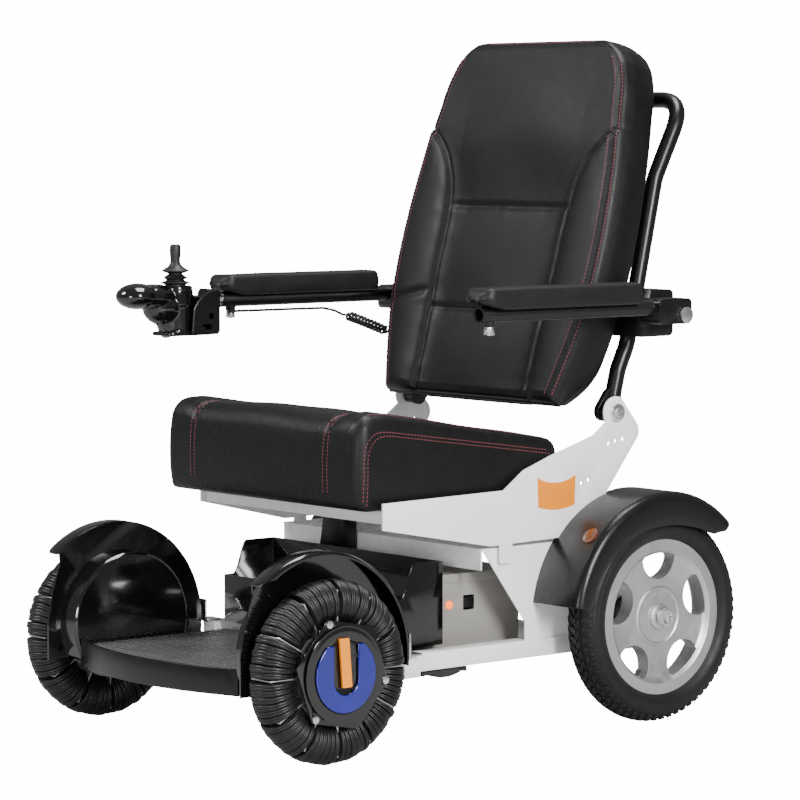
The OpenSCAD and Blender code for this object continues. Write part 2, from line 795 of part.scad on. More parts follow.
module arm_pad(side) {
  x0 = arm_x - pad_w / 2;
  x1 = arm_x + pad_w / 2;
  color("#181818") handed(side)
    slab_x(x0, x1, concat(
      arc([pad_y0 + 12, pad_z0 + 12], 12, 270, 180, 5),
      arc([pad_y0 + 20, pad_z0 + pad_t - 10], 10, 150, 90, 4),
      arc([pad_y0 + pad_l - 8, pad_z0 + pad_t - 8], 8, 90, 0, 4),
      arc([pad_y0 + pad_l - 8, pad_z0 + 8], 8, 0, -90, 4)));
}

module clamp_knob(side) {
  z = arm_z - arm_r - 5;
  color("silver") handed(side) translate([arm_x, knob_y, 0]) {
    translate([0, 0, z - 13]) cylinder(h = 5, r = 3);
    translate([0, 0, z - 8]) cylinder(h = 7.5, r = 7);
    translate([0, 0, z - 1]) cylinder(h = arm_r - slide_r + 3, r = 3);
    block([-10, -1.5, z - 12], [10, 1.5, z - 6]);
  }
}

module slide_tube() {
  color("silver") difference() {
    bar([-arm_x, bracket_y, arm_z], [-arm_x, slide_back - 60, arm_z], slide_r);
    bar([-arm_x, bracket_y - 1, arm_z], [-arm_x, slide_back, arm_z], slide_r - 1.5);
  }
}

// ---- controller ----

module controller_bracket() {
  x0 = ctl_x - 23;
  x1 = ctl_x + 30;
  y1 = bracket_y;
  color("#111111") difference() {
    union() {
      slab_y(y1 - 5, y1, round_rect(x0, ctl_z0 + 2, x1, ctl_z1 + 8, 6));
      slab_x(x1 - 4, x1, concat([[y1, ctl_z0 + 2]],
        arc([y1 - 26, ctl_z0 + 20], 18, 270, 180, 6),
        [[y1 - 44, ctl_z1 - 14]], arc([y1 - 26, ctl_z1 - 10], 18, 180, 90, 6),
        [[y1, ctl_z1 + 8]]));
    }
    // Slot for setting the controller's height.
    slab_x(x1 - 9, x1 + 1, round_rect(y1 - 31, ctl_z0 + 14, y1 - 25, ctl_z1 - 12, 2.9));
  }
}

// Body: a rounded housing with a forward pod, on a base plate.
module controller_body() {
  rear = bracket_y - 5;
  pod_y = stick_y - 70;
  x0 = ctl_x - ctl_half;
  x1 = ctl_x + 25.5;
  color("#0d0d0d") difference() {
    union() {
      slab_z(ctl_z1 - 30, ctl_z1 - 4, round_rect(x0, pod_y - 4, x1, rear, 14));
      slab_z(ctl_z1 - 5, ctl_z1, round_rect(x0 + 3, pod_y, x1 - 3, rear - 3, 11));
      slab_z(ctl_z0, ctl_z1 - 29, round_rect(ctl_x - 27, stick_y - 30, x1, rear, 12));
      translate([ctl_x - 4, pod_y, ctl_z1 - 32]) cylinder(h = 26, r = ctl_half - 4);
      translate([ctl_x - 4, pod_y, ctl_z1 - 7])
        cylinder(h = 6, r1 = ctl_half - 4, r2 = ctl_half - 12);
    }
    translate([ctl_x, stick_y, stick_z - 5]) cylinder(h = 30, r = 22);
    translate([ctl_x, stick_y, stick_z - 26]) cylinder(h = 30, r = 14);
    for (x = [-20, 8]) translate([ctl_x + x, pod_y - 6, ctl_z1 - 12])
      cylinder(h = 20, r = 6 + 0.4);
  }
}

module joystick_gimbal() {
  color("dimgray") translate([ctl_x, stick_y, stick_z - 14]) difference() {
    cylinder(h = 8, r = 10);
    translate([0, 0, -1]) cylinder(h = 10, r = 6.9);
  }
}

module joystick_lever() {
  z = stick_z;
  color("#111111") translate([ctl_x, stick_y, 0]) {
    translate([0, 0, z - 20]) cylinder(h = 79, r = 3.2);
    translate([0, 0, z + 47]) cylinder(h = 6, r1 = 6, r2 = 10);
    translate([0, 0, z + 53]) cylinder(h = 16, r = 10);
    translate([0, 0, z + 69]) cylinder(h = 5, r1 = 10, r2 = 6);
  }
}

// Three-fold rubber boot around the lever.
module joystick_boot() {
  folds = 3;
  foot = 17;
  neck = 8;
  rise = 12.5;
  outline = [for (i = [0:folds - 1]) let (r = foot - (foot - neck) * i / folds)
    each [[r - 1, 2 + i * rise], [r, 5 + i * rise], [r - 5, 10 + i * rise]]];
  color("#0a0a0a") translate([ctl_x, stick_y, stick_z])
    rotate_extrude($fn = 48) polygon(concat([[3.25, 2]], outline,
      [[neck - 3, 43], [3.25, 43]]));
}

module key(dx, tint) {
  color(tint) translate([ctl_x + dx, stick_y - 76, ctl_z1 - 9.5])
    cylinder(h = 10, r = 6);
}

module power_key() {
  key(-20, "#222222");
}

module horn_key() {
  key(8, "#333333");
}

// ---- cable ----

// The curly stretch is drawn as one fat tube of its outside diameter.
lead_r = 2.6;
coil_r = 6.5;
cable_x = -arm_x + 16;
cable_run = [
  [cable_x, bracket_y + 36, arm_z - 18, lead_r], [cable_x, mid_y + 60, arm_z - 18, lead_r],
  [cable_x, mid_y + 150, arm_z - 18, lead_r], [cable_x - 2, mid_y + 172, arm_z - 23, lead_r],
  [cable_x - 2, mid_y + 185, arm_z - 30, lead_r], [cable_x, mid_y + 192, arm_z - 31, coil_r],
  [cable_x + 4, mid_y + 229, arm_z - 44, coil_r], [cable_x + 8, mid_y + 269, arm_z - 60, coil_r],
  [cable_x + 10, mid_y + 276, arm_z - 63, lead_r], [cable_x + 16, mid_y + 300, arm_z - 70, lead_r],
  [cable_x + 22, mid_y + 318, arm_z - 84, lead_r]];

// A ring of points about the cable at stop i.
function cable_ring(i, sides) = let (
  last = len(cable_run) - 1,
  a = cable_run[max(i - 1, 0)],
  b = cable_run[min(i + 1, last)],
  d = [b.x - a.x, b.y - a.y, b.z - a.z] / norm([b.x - a.x, b.y - a.y, b.z - a.z]),
  u = cross(d, [0, 0, 1]) / norm(cross(d, [0, 0, 1])),
  v = cross(u, d),
  c = cable_run[i])
  [for (k = [0:sides - 1]) let (t = 360 * k / sides)
    [c.x, c.y, c.z] + c[3] * (u * cos(t) + v * sin(t))];

module controller_cable() {
  sides = 10;
  n = len(cable_run);
  points = [for (i = [0:n - 1]) each cable_ring(i, sides)];
  walls = [for (i = [0:n - 2], k = [0:sides - 1]) let (m = (k + 1) % sides)
    [i * sides + k, (i + 1) * sides + k, (i + 1) * sides + m, i * sides + m]];
  ends = [[for (k = [0:sides - 1]) k],
    [for (k = [sides - 1:-1:0]) (n - 1) * sides + k]];
  color("#0a0a0a") polyhedron(points = points, faces = concat(walls, ends), convexity = 4);
}

base_frame();
belly_pan();
rear_body();
battery_box();
battery_lid();
power_switch();
status_lamp();
front_tray();
footplate();
footplate_skirt();
front_axle();
front_fender(1);  // front_fender_left
front_fender(-1);  // front_fender_right
fender_stays();
rear_fender(1);  // rear_fender_left
rear_fender(-1);  // rear_fender_right
fender_reflectors();
drive_motor(1);  // drive_motor_left
drive_motor(-1);  // drive_motor_right
drive_shaft(1);  // drive_shaft_left
drive_shaft(-1);  // drive_shaft_right
rear_rim(1);  // rear_rim_left
rear_rim(-1);  // rear_rim_right
rear_tyre(1);  // rear_tyre_left
rear_tyre(-1);  // rear_tyre_right
omni_hub(1);  // omni_hub_left
omni_hub(-1);  // omni_hub_right
omni_discs(1);  // omni_discs_left
omni_discs(-1);  // omni_discs_right
omni_plate(1);  // omni_plate_left
omni_plate(-1);  // omni_plate_right
omni_cap(1);  // omni_cap_left
omni_cap(-1);  // omni_cap_right
omni_bolts(1);  // omni_bolts_left
omni_bolts(-1);  // omni_bolts_right
seat_post();
seat_frame();
seat_cushion();
recline_pins();
back_frame();
back_panel();
back_cushion();
arm_clamp(1);  // arm_clamp_left
arm_clamp(-1);  // arm_clamp_right
arm_pins();
arm(1);  // arm_left
arm(-1);  // arm_right
arm_pad(1);  // arm_pad_left
arm_pad(-1);  // arm_pad_right
clamp_knob(1);  // clamp_knob_left
clamp_knob(-1);  // clamp_knob_right
slide_tube();
controller_bracket();
controller_body();
joystick_gimbal();
joystick_lever();
joystick_boot();
power_key();
horn_key();
controller_cable();
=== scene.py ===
"""Looks for the power wheelchair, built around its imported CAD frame.

Metres, +X to the user's left, -Y forward, +Z up. A piece that lines up with a CAD node takes
its place from that node's box.
"""

import math

import bmesh
import bpy
import numpy as np
from mathutils import Matrix, Vector
from mathutils.bvhtree import BVHTree


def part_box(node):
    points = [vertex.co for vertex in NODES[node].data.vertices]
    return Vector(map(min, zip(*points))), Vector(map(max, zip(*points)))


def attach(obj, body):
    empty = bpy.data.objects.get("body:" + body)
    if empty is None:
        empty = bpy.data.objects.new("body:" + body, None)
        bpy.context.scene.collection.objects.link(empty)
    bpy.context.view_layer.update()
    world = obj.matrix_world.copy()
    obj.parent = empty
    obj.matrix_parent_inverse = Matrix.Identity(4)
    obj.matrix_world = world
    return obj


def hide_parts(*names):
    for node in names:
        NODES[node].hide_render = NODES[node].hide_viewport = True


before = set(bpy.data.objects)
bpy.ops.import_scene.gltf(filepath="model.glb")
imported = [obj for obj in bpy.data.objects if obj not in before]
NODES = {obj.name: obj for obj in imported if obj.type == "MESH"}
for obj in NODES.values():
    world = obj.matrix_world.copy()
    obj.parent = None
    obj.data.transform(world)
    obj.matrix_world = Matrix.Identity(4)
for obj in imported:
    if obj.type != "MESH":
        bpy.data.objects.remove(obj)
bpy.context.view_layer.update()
TAU = 2 * math.pi


def mid(node):
    """The middle of a CAD node's box."""
    lo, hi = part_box(node)
    return (lo + hi) / 2


# ---- camera ----

AZIMUTH = math.radians(50)
ELEVATION = math.radians(4.4)
DISTANCE = 5.2645
AIM_RIGHT = 0.0379
AIM_Y = -0.0049
AIM_Z = 0.4793
SENSOR_MM = 36
FOCAL_SHARE = 4.3875


def make_camera():
    """A long lens at the photograph's angle, without shift or depth of field."""
    flat = math.cos(ELEVATION)
    back = Vector((math.sin(AZIMUTH) * flat, -math.cos(AZIMUTH) * flat, math.sin(ELEVATION)))
    right = Vector((math.cos(AZIMUTH), math.sin(AZIMUTH), 0))
    up = back.cross(right)
    place = DISTANCE * back + AIM_RIGHT * right + Vector((0, AIM_Y, AIM_Z))
    data = bpy.data.cameras.new("camera")
    data.sensor_width = SENSOR_MM
    data.lens = SENSOR_MM * FOCAL_SHARE
    data.clip_end = 40
    camera = bpy.data.objects.new("camera", data)
    camera.matrix_world = Matrix((
        (right.x, up.x, back.x, place.x),
        (right.y, up.y, back.y, place.y),
        (right.z, up.z, back.z, place.z),
        (0, 0, 0, 1)))
    bpy.context.scene.collection.objects.link(camera)
    bpy.context.scene.camera = camera


make_camera()

# ---- mesh helpers ----


def link(obj):
    """Puts an object in the scene."""
    bpy.context.scene.collection.objects.link(obj)
    return obj


def mesh_piece(name, verts, faces, material=None, smooth=True, sharp=35):
    """A mesh object from vertices and faces, with its normals facing out."""
    data = bpy.data.meshes.new(name)
    data.from_pydata([tuple(v) for v in verts], [], [tuple(f) for f in faces])
    work = bmesh.new()
    work.from_mesh(data)
    bmesh.ops.remove_doubles(work, verts=work.verts, dist=1e-6)
    bmesh.ops.recalc_face_normals(work, faces=work.faces)
    work.to_mesh(data)
    work.free()
    if smooth:
        data.shade_smooth()
        data.set_sharp_from_angle(angle=math.radians(sharp))
    if material:
        data.materials.append(material)
    return link(bpy.data.objects.new(name, data))


def grid_faces(rows, columns, wrap_rows=False, wrap_columns=False, start=0):
    """Quads of a grid of points that is stored row by row."""
    faces = []
    for i in range(rows if wrap_rows else rows - 1):
        for j in range(columns if wrap_columns else columns - 1):
            k, m = (i + 1) % rows, (j + 1) % columns
            faces.append((start + i * columns + j, start + i * columns + m,
                          start + k * columns + m, start + k * columns + j))
    return faces


def tube_faces(rings, sides, start=0):
    """Quads round a stack of closed rings, with both ends capped."""
    last = start + (rings - 1) * sides
    caps = [tuple(range(start, start + sides)), tuple(range(last + sides - 1, last - 1, -1))]
    return grid_faces(rings, sides, wrap_columns=True, start=start) + caps


def lathe(name, profile, centre, axis, material, steps=64, sharp=35):
    """Turns a profile of (radius, distance along the axis) about an axis through centre."""
    axis = Vector(axis).normalized()
    side = axis.orthogonal().normalized()
    other = axis.cross(side)
    verts = []
    for i in range(steps):
        a = TAU * i / steps
        out = side * math.cos(a) + other * math.sin(a)
        verts += [Vector(centre) + out * r + axis * h for r, h in profile]
    faces = grid_faces(steps, len(profile), wrap_rows=True)
    return mesh_piece(name, verts, faces, material, sharp=sharp)


def rounded(points, radius, steps=8):
    """A path whose corners are replaced by arcs of the given radius."""
    path = [Vector(points[0])]
    for a, b, c in zip(points, points[1:], points[2:]):
        a, b, c = Vector(a), Vector(b), Vector(c)
        u, v = (a - b).normalized(), (c - b).normalized()
        half = u.angle(v) / 2
        run = min(radius / math.tan(half), 0.48 * min((a - b).length, (c - b).length))
        start, end = b + u * run, b + v * run
        for i in range(steps + 1):
            t = i / steps
            path.append((1 - t) ** 2 * start + 2 * t * (1 - t) * b + t * t * end)
    path.append(Vector(points[-1]))
    return path


def sweep(name, path, radius, material, sides=20):
    """A closed round bar along a path."""
    path = [Vector(p) for p in path]
    tangents = [(path[min(i + 1, len(path) - 1)] - path[max(i - 1, 0)]).normalized()
                for i in range(len(path))]
    side = tangents[0].orthogonal().normalized()
    verts = []
    for p, t in zip(path, tangents):
        side = (side - t * side.dot(t)).normalized()
        up = t.cross(side)
        verts += [p + radius * (side * math.cos(TAU * k / sides)
                                + up * math.sin(TAU * k / sides)) for k in range(sides)]
    return mesh_piece(name, verts, tube_faces(len(path), sides), material, sharp=40)


def apply_modifiers(piece):
    """Turns a piece's modifiers into its mesh."""
    shape = bpy.data.meshes.new_from_object(
        piece.evaluated_get(bpy.context.evaluated_depsgraph_get()))
    piece.modifiers.clear()
    piece.data = shape


def fit(piece, body, replaces=None):
    """Rides a body and hides the CAD node that it stands for."""
    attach(piece, body)
    if replaces:
        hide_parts(replaces)


def modify(piece, kind, **settings):
    """Adds a modifier with its settings."""
    modifier = piece.modifiers.new(kind.lower(), kind)
    for key, value in settings.items():
        setattr(modifier, key, value)


def soften(piece, width, segments=3, angle=50):
    """Breaks a piece's sharp edges with a small bevel."""
    modify(piece, "BEVEL", width=width, segments=segments, limit_method="ANGLE",
           angle_limit=math.radians(angle))


def coordinates(piece):
    """A piece's vertices, one row each."""
    co = np.empty(len(piece.data.vertices) * 3)
    piece.data.vertices.foreach_get("co", co)
    return co.reshape(-1, 3)


def solid_piece(name, parts):
    """One object from several closed (verts, faces) parts."""
    work = bmesh.new()
    for verts, faces in parts:
        made = [work.verts.new(v) for v in verts]
        for f in faces:
            work.faces.new([made[k] for k in f])
    bmesh.ops.recalc_face_normals(work, faces=work.faces)
    data = bpy.data.meshes.new(name)
    work.to_mesh(data)
    work.free()
    return link(bpy.data.objects.new(name, data))


def fused(name, parts, voxel, material, smoothing):
    """Melts overlapping closed meshes into one moulded shape with soft inner corners."""
    piece = solid_piece(name, parts)
    modify(piece, "REMESH", mode="VOXEL", voxel_size=voxel)
    modify(piece, "SMOOTH", factor=0.5, iterations=smoothing)
    apply_modifiers(piece)
    piece.data.shade_smooth()
    piece.data.materials.clear()
    piece.data.materials.append(material)
    return piece


def cut_out(piece, parts):
    """Cuts closed shapes out of a piece."""
    cutter = solid_piece("cutter", parts)
    modify(piece, "BOOLEAN", operation="DIFFERENCE", solver="EXACT", object=cutter)
    apply_modifiers(piece)
    bpy.data.objects.remove(cutter)
    piece.data.shade_smooth()
    piece.data.set_sharp_from_angle(angle=math.radians(35))


def drum_part(start, end, radius, end_radius=None, steps=40, ease=0.0):
    """A closed cylinder or cone between two points, as (verts, faces)."""
    start, end = Vector(start), Vector(end)
    axis = (end - start).normalized()
    side = axis.orthogonal().normalized()
    other = axis.cross(side)
    end_radius = radius if end_radius is None else end_radius
    rings = [(start, radius - ease), (start + axis * ease, radius),
             (end - axis * ease, end_radius), (end, end_radius - ease)]
    if not ease:
        rings = [rings[0], rings[3]]
    verts = [p + r * (side * math.cos(TAU * k / steps) + other * math.sin(TAU * k / steps))
             for p, r in rings for k in range(steps)]
    return verts, tube_faces(len(rings), steps)


def ball_part(centre, radii, steps=32):
    """A closed ellipsoid, as (verts, faces)."""
    centre = Vector(centre)
    verts = [centre + Vector((0, 0, radii[2])), centre - Vector((0, 0, radii[2]))]
    rows = steps // 2 - 1
    for i in range(rows):
        t = math.pi * (i + 1) / (rows + 1)
        verts += [centre + Vector((radii[0] * math.sin(t) * math.cos(TAU * k / steps),
                                   radii[1] * math.sin(t) * math.sin(TAU * k / steps),
                                   radii[2] * math.cos(t))) for k in range(steps)]
    faces = grid_faces(rows, steps, wrap_columns=True, start=2)
    last = 2 + (rows - 1) * steps
    faces += [(0, 2 + k, 2 + (k + 1) % steps) for k in range(steps)]
    faces += [(1, last + (k + 1) % steps, last + k) for k in range(steps)]
    return verts, faces


def slab_part(outline, along, lo, hi):
    """A closed slab: outline points are in the two axes that follow axis number `along`."""
    verts = []
    for level in (lo, hi):
        for u, v in outline:
            p = [0, 0, 0]
            p[along] = level
            p[(along + 1) % 3] = u
            p[(along + 2) % 3] = v
            verts.append(Vector(p))
    return verts, tube_faces(2, len(outline))


def round_rect(u0, v0, u1, v1, r, steps=5):
    """The outline of a rectangle with rounded corners."""
    centres = ((u1 - r, v0 + r, -90), (u1 - r, v1 - r, 0), (u0 + r, v1 - r, 90), (u0 + r, v0 + r, 180))
    return [(u + r * math.cos(math.radians(a + 90 * i / steps)),
             v + r * math.sin(math.radians(a + 90 * i / steps)))
            for u, v, a in centres for i in range(steps + 1)]


# ---- materials ----


class Shader:
    """A node material round one Principled shader, with helpers for its texture nodes."""

    def __init__(self, name, **sockets):
        self.material = bpy.data.materials.new(name)
        self.material.use_nodes = True
        self.tree = self.material.node_tree
        self.surface = self.tree.nodes["Principled BSDF"]
        for key, value in sockets.items():
            self.surface.inputs[key.replace("_", " ")].default_value = value
        self.place = self.node("ShaderNodeTexCoord").outputs["Object"]

    def node(self, kind, **settings):
        made = self.tree.nodes.new(kind)
        for key, value in settings.items():
            setattr(made, key, value)
        return made

    def join(self, source, target):
        self.tree.links.new(source, target)

    def noise(self, scale, detail=3, rough=0.55):
        made = self.node("ShaderNodeTexNoise")
        made.inputs["Scale"].default_value = scale
        made.inputs["Detail"].default_value = detail
        made.inputs["Roughness"].default_value = rough
        self.join(self.place, made.inputs["Vector"])
        return made.outputs["Fac"]

    def cells(self, scale):
        """The distance to the nearest edge between cells."""
        made = self.node("ShaderNodeTexVoronoi", feature="DISTANCE_TO_EDGE")
        made.inputs["Scale"].default_value = scale
        self.join(self.place, made.inputs["Vector"])
        return made.outputs["Distance"]

    def ramp(self, value, stops):
        """Colours along a value: stops are (position, colour)."""
        made = self.node("ShaderNodeValToRGB")
        ramp = made.color_ramp
        while len(ramp.elements) < len(stops):
            ramp.elements.new(0.5)
        for element, (position, colour) in zip(ramp.elements, stops):
            element.position = position
            element.color = (*colour, 1)
        self.join(value, made.inputs["Fac"])
        return made.outputs["Color"]

    def spread(self, value, low, high, start=0.3, end=0.7):
        """Maps a texture value onto a range."""
        made = self.node("ShaderNodeMapRange")
        for key, number in (("From Min", start), ("From Max", end), ("To Min", low), ("To Max", high)):
            made.inputs[key].default_value = number
        self.join(value, made.inputs["Value"])
        return made.outputs["Result"]

    def math(self, operation, a, b=None):
        made = self.node("ShaderNodeMath", operation=operation)
        for socket, value in zip(made.inputs, (a, b)):
            if value is None:
                continue
            if isinstance(value, (int, float)):
                socket.default_value = value
            else:
                self.join(value, socket)
        return made.outputs["Value"]

    def attribute(self, name):
        return self.node("ShaderNodeAttribute", attribute_name=name).outputs["Fac"]

    def colour(self, output):
        self.join(output, self.surface.inputs["Base Color"])

    def rough(self, output):
        self.join(output, self.surface.inputs["Roughness"])

    def bumps(self, *layers):
        """Stacks bump layers of (height, distance in metres, strength)."""
        below = None
        for height, distance, strength in layers:
            made = self.node("ShaderNodeBump")
            made.inputs["Distance"].default_value = distance
            made.inputs["Strength"].default_value = strength
            self.join(height, made.inputs["Height"])
            if below:
                self.join(below, made.inputs["Normal"])
            below = made.outputs["Normal"]
        self.join(below, self.surface.inputs["Normal"])
        return self.material


def shade(colour, factor):
    """A colour made darker or lighter."""
    return tuple(min(1.0, c * factor) for c in colour)


def paint(name, colour, rough, vary=0.1, peel=0.4, **sockets):
    """Sprayed or moulded gloss: faint orange peel and uneven shine."""
    s = Shader(name, **sockets)
    broad = s.noise(14, 4)
    s.colour(s.ramp(broad, [(0.3, shade(colour, 1 - vary)), (0.7, shade(colour, 1 + vary))]))
    s.rough(s.spread(s.noise(42, 5), rough * 0.8, rough * 1.3))
    return s.bumps((s.noise(420, 2), 0.0002, peel * 0.3), (s.noise(60, 3), 0.0004, peel * 0.12))


def textured(name, colour, rough, grain, depth, vary=0.12, **sockets):
    """Moulded plastic, powder coat or rubber with a fine grain."""
    s = Shader(name, **sockets)
    s.colour(s.ramp(s.noise(18, 5), [(0.3, shade(colour, 1 - vary)), (0.7, shade(colour, 1 + vary))]))
    s.rough(s.spread(s.noise(70, 4), rough * 0.88, rough * 1.12))
    return s.bumps((s.noise(grain, 3, 0.65), depth, 0.5))


def metal(name, colour, rough, brush=None, **sockets):
    """Bare or silver-painted metal; brush stretches its scratches along one axis."""
    s = Shader(name, Metallic=1.0, **sockets)
    s.colour(s.ramp(s.noise(25, 4), [(0.3, shade(colour, 0.9)), (0.7, shade(colour, 1.06))]))
    s.rough(s.spread(s.noise(90, 5), rough * 0.8, rough * 1.25))
    scratches = s.noise(700, 3)
    if brush is not None:
        stretch = s.node("ShaderNodeMapping")
        stretch.inputs["Scale"].default_value = [0.04 if k == brush else 1 for k in range(3)]
        s.join(s.place, stretch.inputs["Vector"])
        noise = scratches.node
        s.join(stretch.outputs["Vector"], noise.inputs["Vector"])
    return s.bumps((scratches, 0.00006, 0.4))


def leather(name, ribbed=False):
    """Black grained leather with painted shade darkening the seams; ribbed where the panel attribute is
    set.
    """
    s = Shader(name, Specular_IOR_Level=0.24, Coat_Weight=0.04, Coat_Roughness=0.22)
    dark, light = (0.0018, 0.0018, 0.0020), (0.0042, 0.0043, 0.0046)
    base = s.ramp(s.noise(9, 5), [(0.25, dark), (0.75, light)])
    # Painted shade: the seam attribute takes up to 85% of the colour out in the sewn grooves, where shade
    # falls.
    seam = s.math("SUBTRACT", 1.0, s.math("MULTIPLY", s.attribute("seam"), 0.85))
    colour_with_seam_shade = s.node("ShaderNodeVectorMath", operation="SCALE")
    s.join(base, colour_with_seam_shade.inputs[0])
    s.join(seam, colour_with_seam_shade.inputs["Scale"])
    s.colour(colour_with_seam_shade.outputs["Vector"])
    s.rough(s.spread(s.noise(55, 4), 0.36, 0.46))
    pebbles = s.math("MINIMUM", s.cells(720), 0.35)
    layers = [(pebbles, 0.0006, 0.55), (s.noise(1500, 2), 0.0001, 0.4), (s.noise(24, 3), 0.002, 0.14)]
    if ribbed:
        axis = s.node("ShaderNodeSeparateXYZ")
        s.join(s.place, axis.inputs[0])
        wave = s.math("SINE", s.math("MULTIPLY", axis.outputs["X"], TAU / 0.0042))
        ribs = s.math("MULTIPLY", wave, s.attribute("panel"))
        layers.append((ribs, 0.0005, 0.28))
    return s.bumps(*layers)


def glowing(name, colour, strength):
    """A lit lens with a faceted face."""
    s = Shader(name, Roughness=0.2, Emission_Strength=strength, Emission_Color=(*colour, 1))
    s.colour(s.ramp(s.noise(200, 2), [(0.3, shade(colour, 0.8)), (0.7, colour)]))
    return s.bumps((s.cells(500), 0.0003, 0.4))


def lens(name, colour):
    """A moulded reflector: small facets under a smooth face."""
    s = Shader(name, Roughness=0.14, Coat_Weight=0.5, Coat_Roughness=0.06)
    s.colour(s.ramp(s.cells(260), [(0.02, shade(colour, 0.35)), (0.3, colour)]))
    return s.bumps((s.cells(260), 0.0006, 0.7))


MAT = {
    "leather": leather("black_leather"),
    "ribbed": leather("ribbed_leather", ribbed=True),
    "thread": textured("red_thread", (0.15, 0.006, 0.016), 0.6, 3000, 0.0002, 0.2, Sheen_Weight=0.3),
    "white": paint("white_coat", (0.90, 0.90, 0.905), 0.26, 0.02, Coat_Weight=0.25, Coat_Roughness=0.12),
    "gloss": paint("gloss_black", (0.0025, 0.0025, 0.0027), 0.10, 0.15, Coat_Weight=0.5,
                   Coat_Roughness=0.05),
    "satin": textured("satin_black", (0.004, 0.004, 0.0042), 0.30, 900, 0.0001,
                      Specular_IOR_Level=0.35),
    "tube": textured("black_powder_coat", (0.0035, 0.0035, 0.0037), 0.30, 1400, 0.00012,
                     Specular_IOR_Level=0.4),
    "pad": textured("arm_pad_skin", (0.006, 0.006, 0.0063), 0.50, 1300, 0.00025,
                    Specular_IOR_Level=0.3),
    "rubber": textured("black_rubber", (0.006, 0.0059, 0.0058), 0.50, 1100, 0.0002),
    "disc": textured("roller_rubber", (0.0045, 0.0044, 0.0043), 0.36, 500, 0.0006, 0.35,
                     Specular_IOR_Level=0.42),
    "tyre": textured("tyre_rubber", (0.0048, 0.0048, 0.0047), 0.5, 800, 0.0004, 0.2,
                     Specular_IOR_Level=0.32),
    "case": textured("grey_case", (0.27, 0.26, 0.24), 0.45, 1500, 0.00012, 0.04),
    "tread": textured("tread_plate", (0.12, 0.12, 0.122), 0.26, 900, 0.0001, Metallic=0.4),
    "alloy": metal("silver_alloy", (0.56, 0.565, 0.575), 0.42),
    "steel": metal("bright_steel", (0.72, 0.72, 0.73), 0.24, brush=0),
    "motor": textured("motor_grey", (0.13, 0.13, 0.135), 0.5, 300, 0.0005, Metallic=0.6),
    "blue": paint("blue_gloss", (0.001, 0.003, 0.17), 0.12, 0.25, Coat_Weight=0.6, Coat_Roughness=0.05),
    "orange": paint("orange_label", (0.86, 0.25, 0.0), 0.4, 0.04),
    "amber": glowing("amber_lamp", (1.0, 0.16, 0.0), 2.2),
    "reflector": lens("orange_reflector", (0.16, 0.035, 0.006)),
}

NODE_LOOKS = {
    "white": ["base_frame", "rear_body", "seat_frame"],
    "gloss": ["belly_pan", "front_tray", "front_fender_left", "front_fender_right",
              "omni_plate_left", "omni_plate_right",
              "omni_cap_left", "omni_cap_right"],
    "satin": ["footplate_skirt", "power_switch", "back_panel", "power_key", "horn_key"],
    "tube": ["front_axle", "seat_post", "arm_clamp_left", "arm_clamp_right", "arm_left", "arm_right"],
    "case": ["battery_box", "battery_lid"],
    "tread": ["footplate"],
    "alloy": ["omni_hub_left", "omni_hub_right"],
    # fender_stays are stays that hold the front fenders. Their bright steel also stands in as a painted
    # highlight for the light reflected off each fender's inner wall.
    "steel": ["drive_shaft_left", "drive_shaft_right", "fender_stays", "recline_pins", "arm_pins",
              "omni_bolts_left", "omni_bolts_right", "clamp_knob_left", "clamp_knob_right", "slide_tube"],
    "motor": ["drive_motor_left", "drive_motor_right", "joystick_gimbal"],
    "amber": ["status_lamp"],
    "reflector": ["fender_reflectors"],
}


CAD_EDGE = 0.0006


def dress(name, look):
    """Gives a CAD node its material, smooth shading and softly broken edges."""
    obj = NODES[name]
    obj.data.materials.clear()
    obj.data.materials.append(MAT[look])
    modify(obj, "WELD", merge_threshold=1e-5)
    obj.data.shade_smooth()
    obj.data.set_sharp_from_angle(angle=math.radians(32))
    soften(obj, CAD_EDGE, segments=2, angle=40)


for look, names in NODE_LOOKS.items():
    for name in names:
        dress(name, look)

# ---- cushions ----


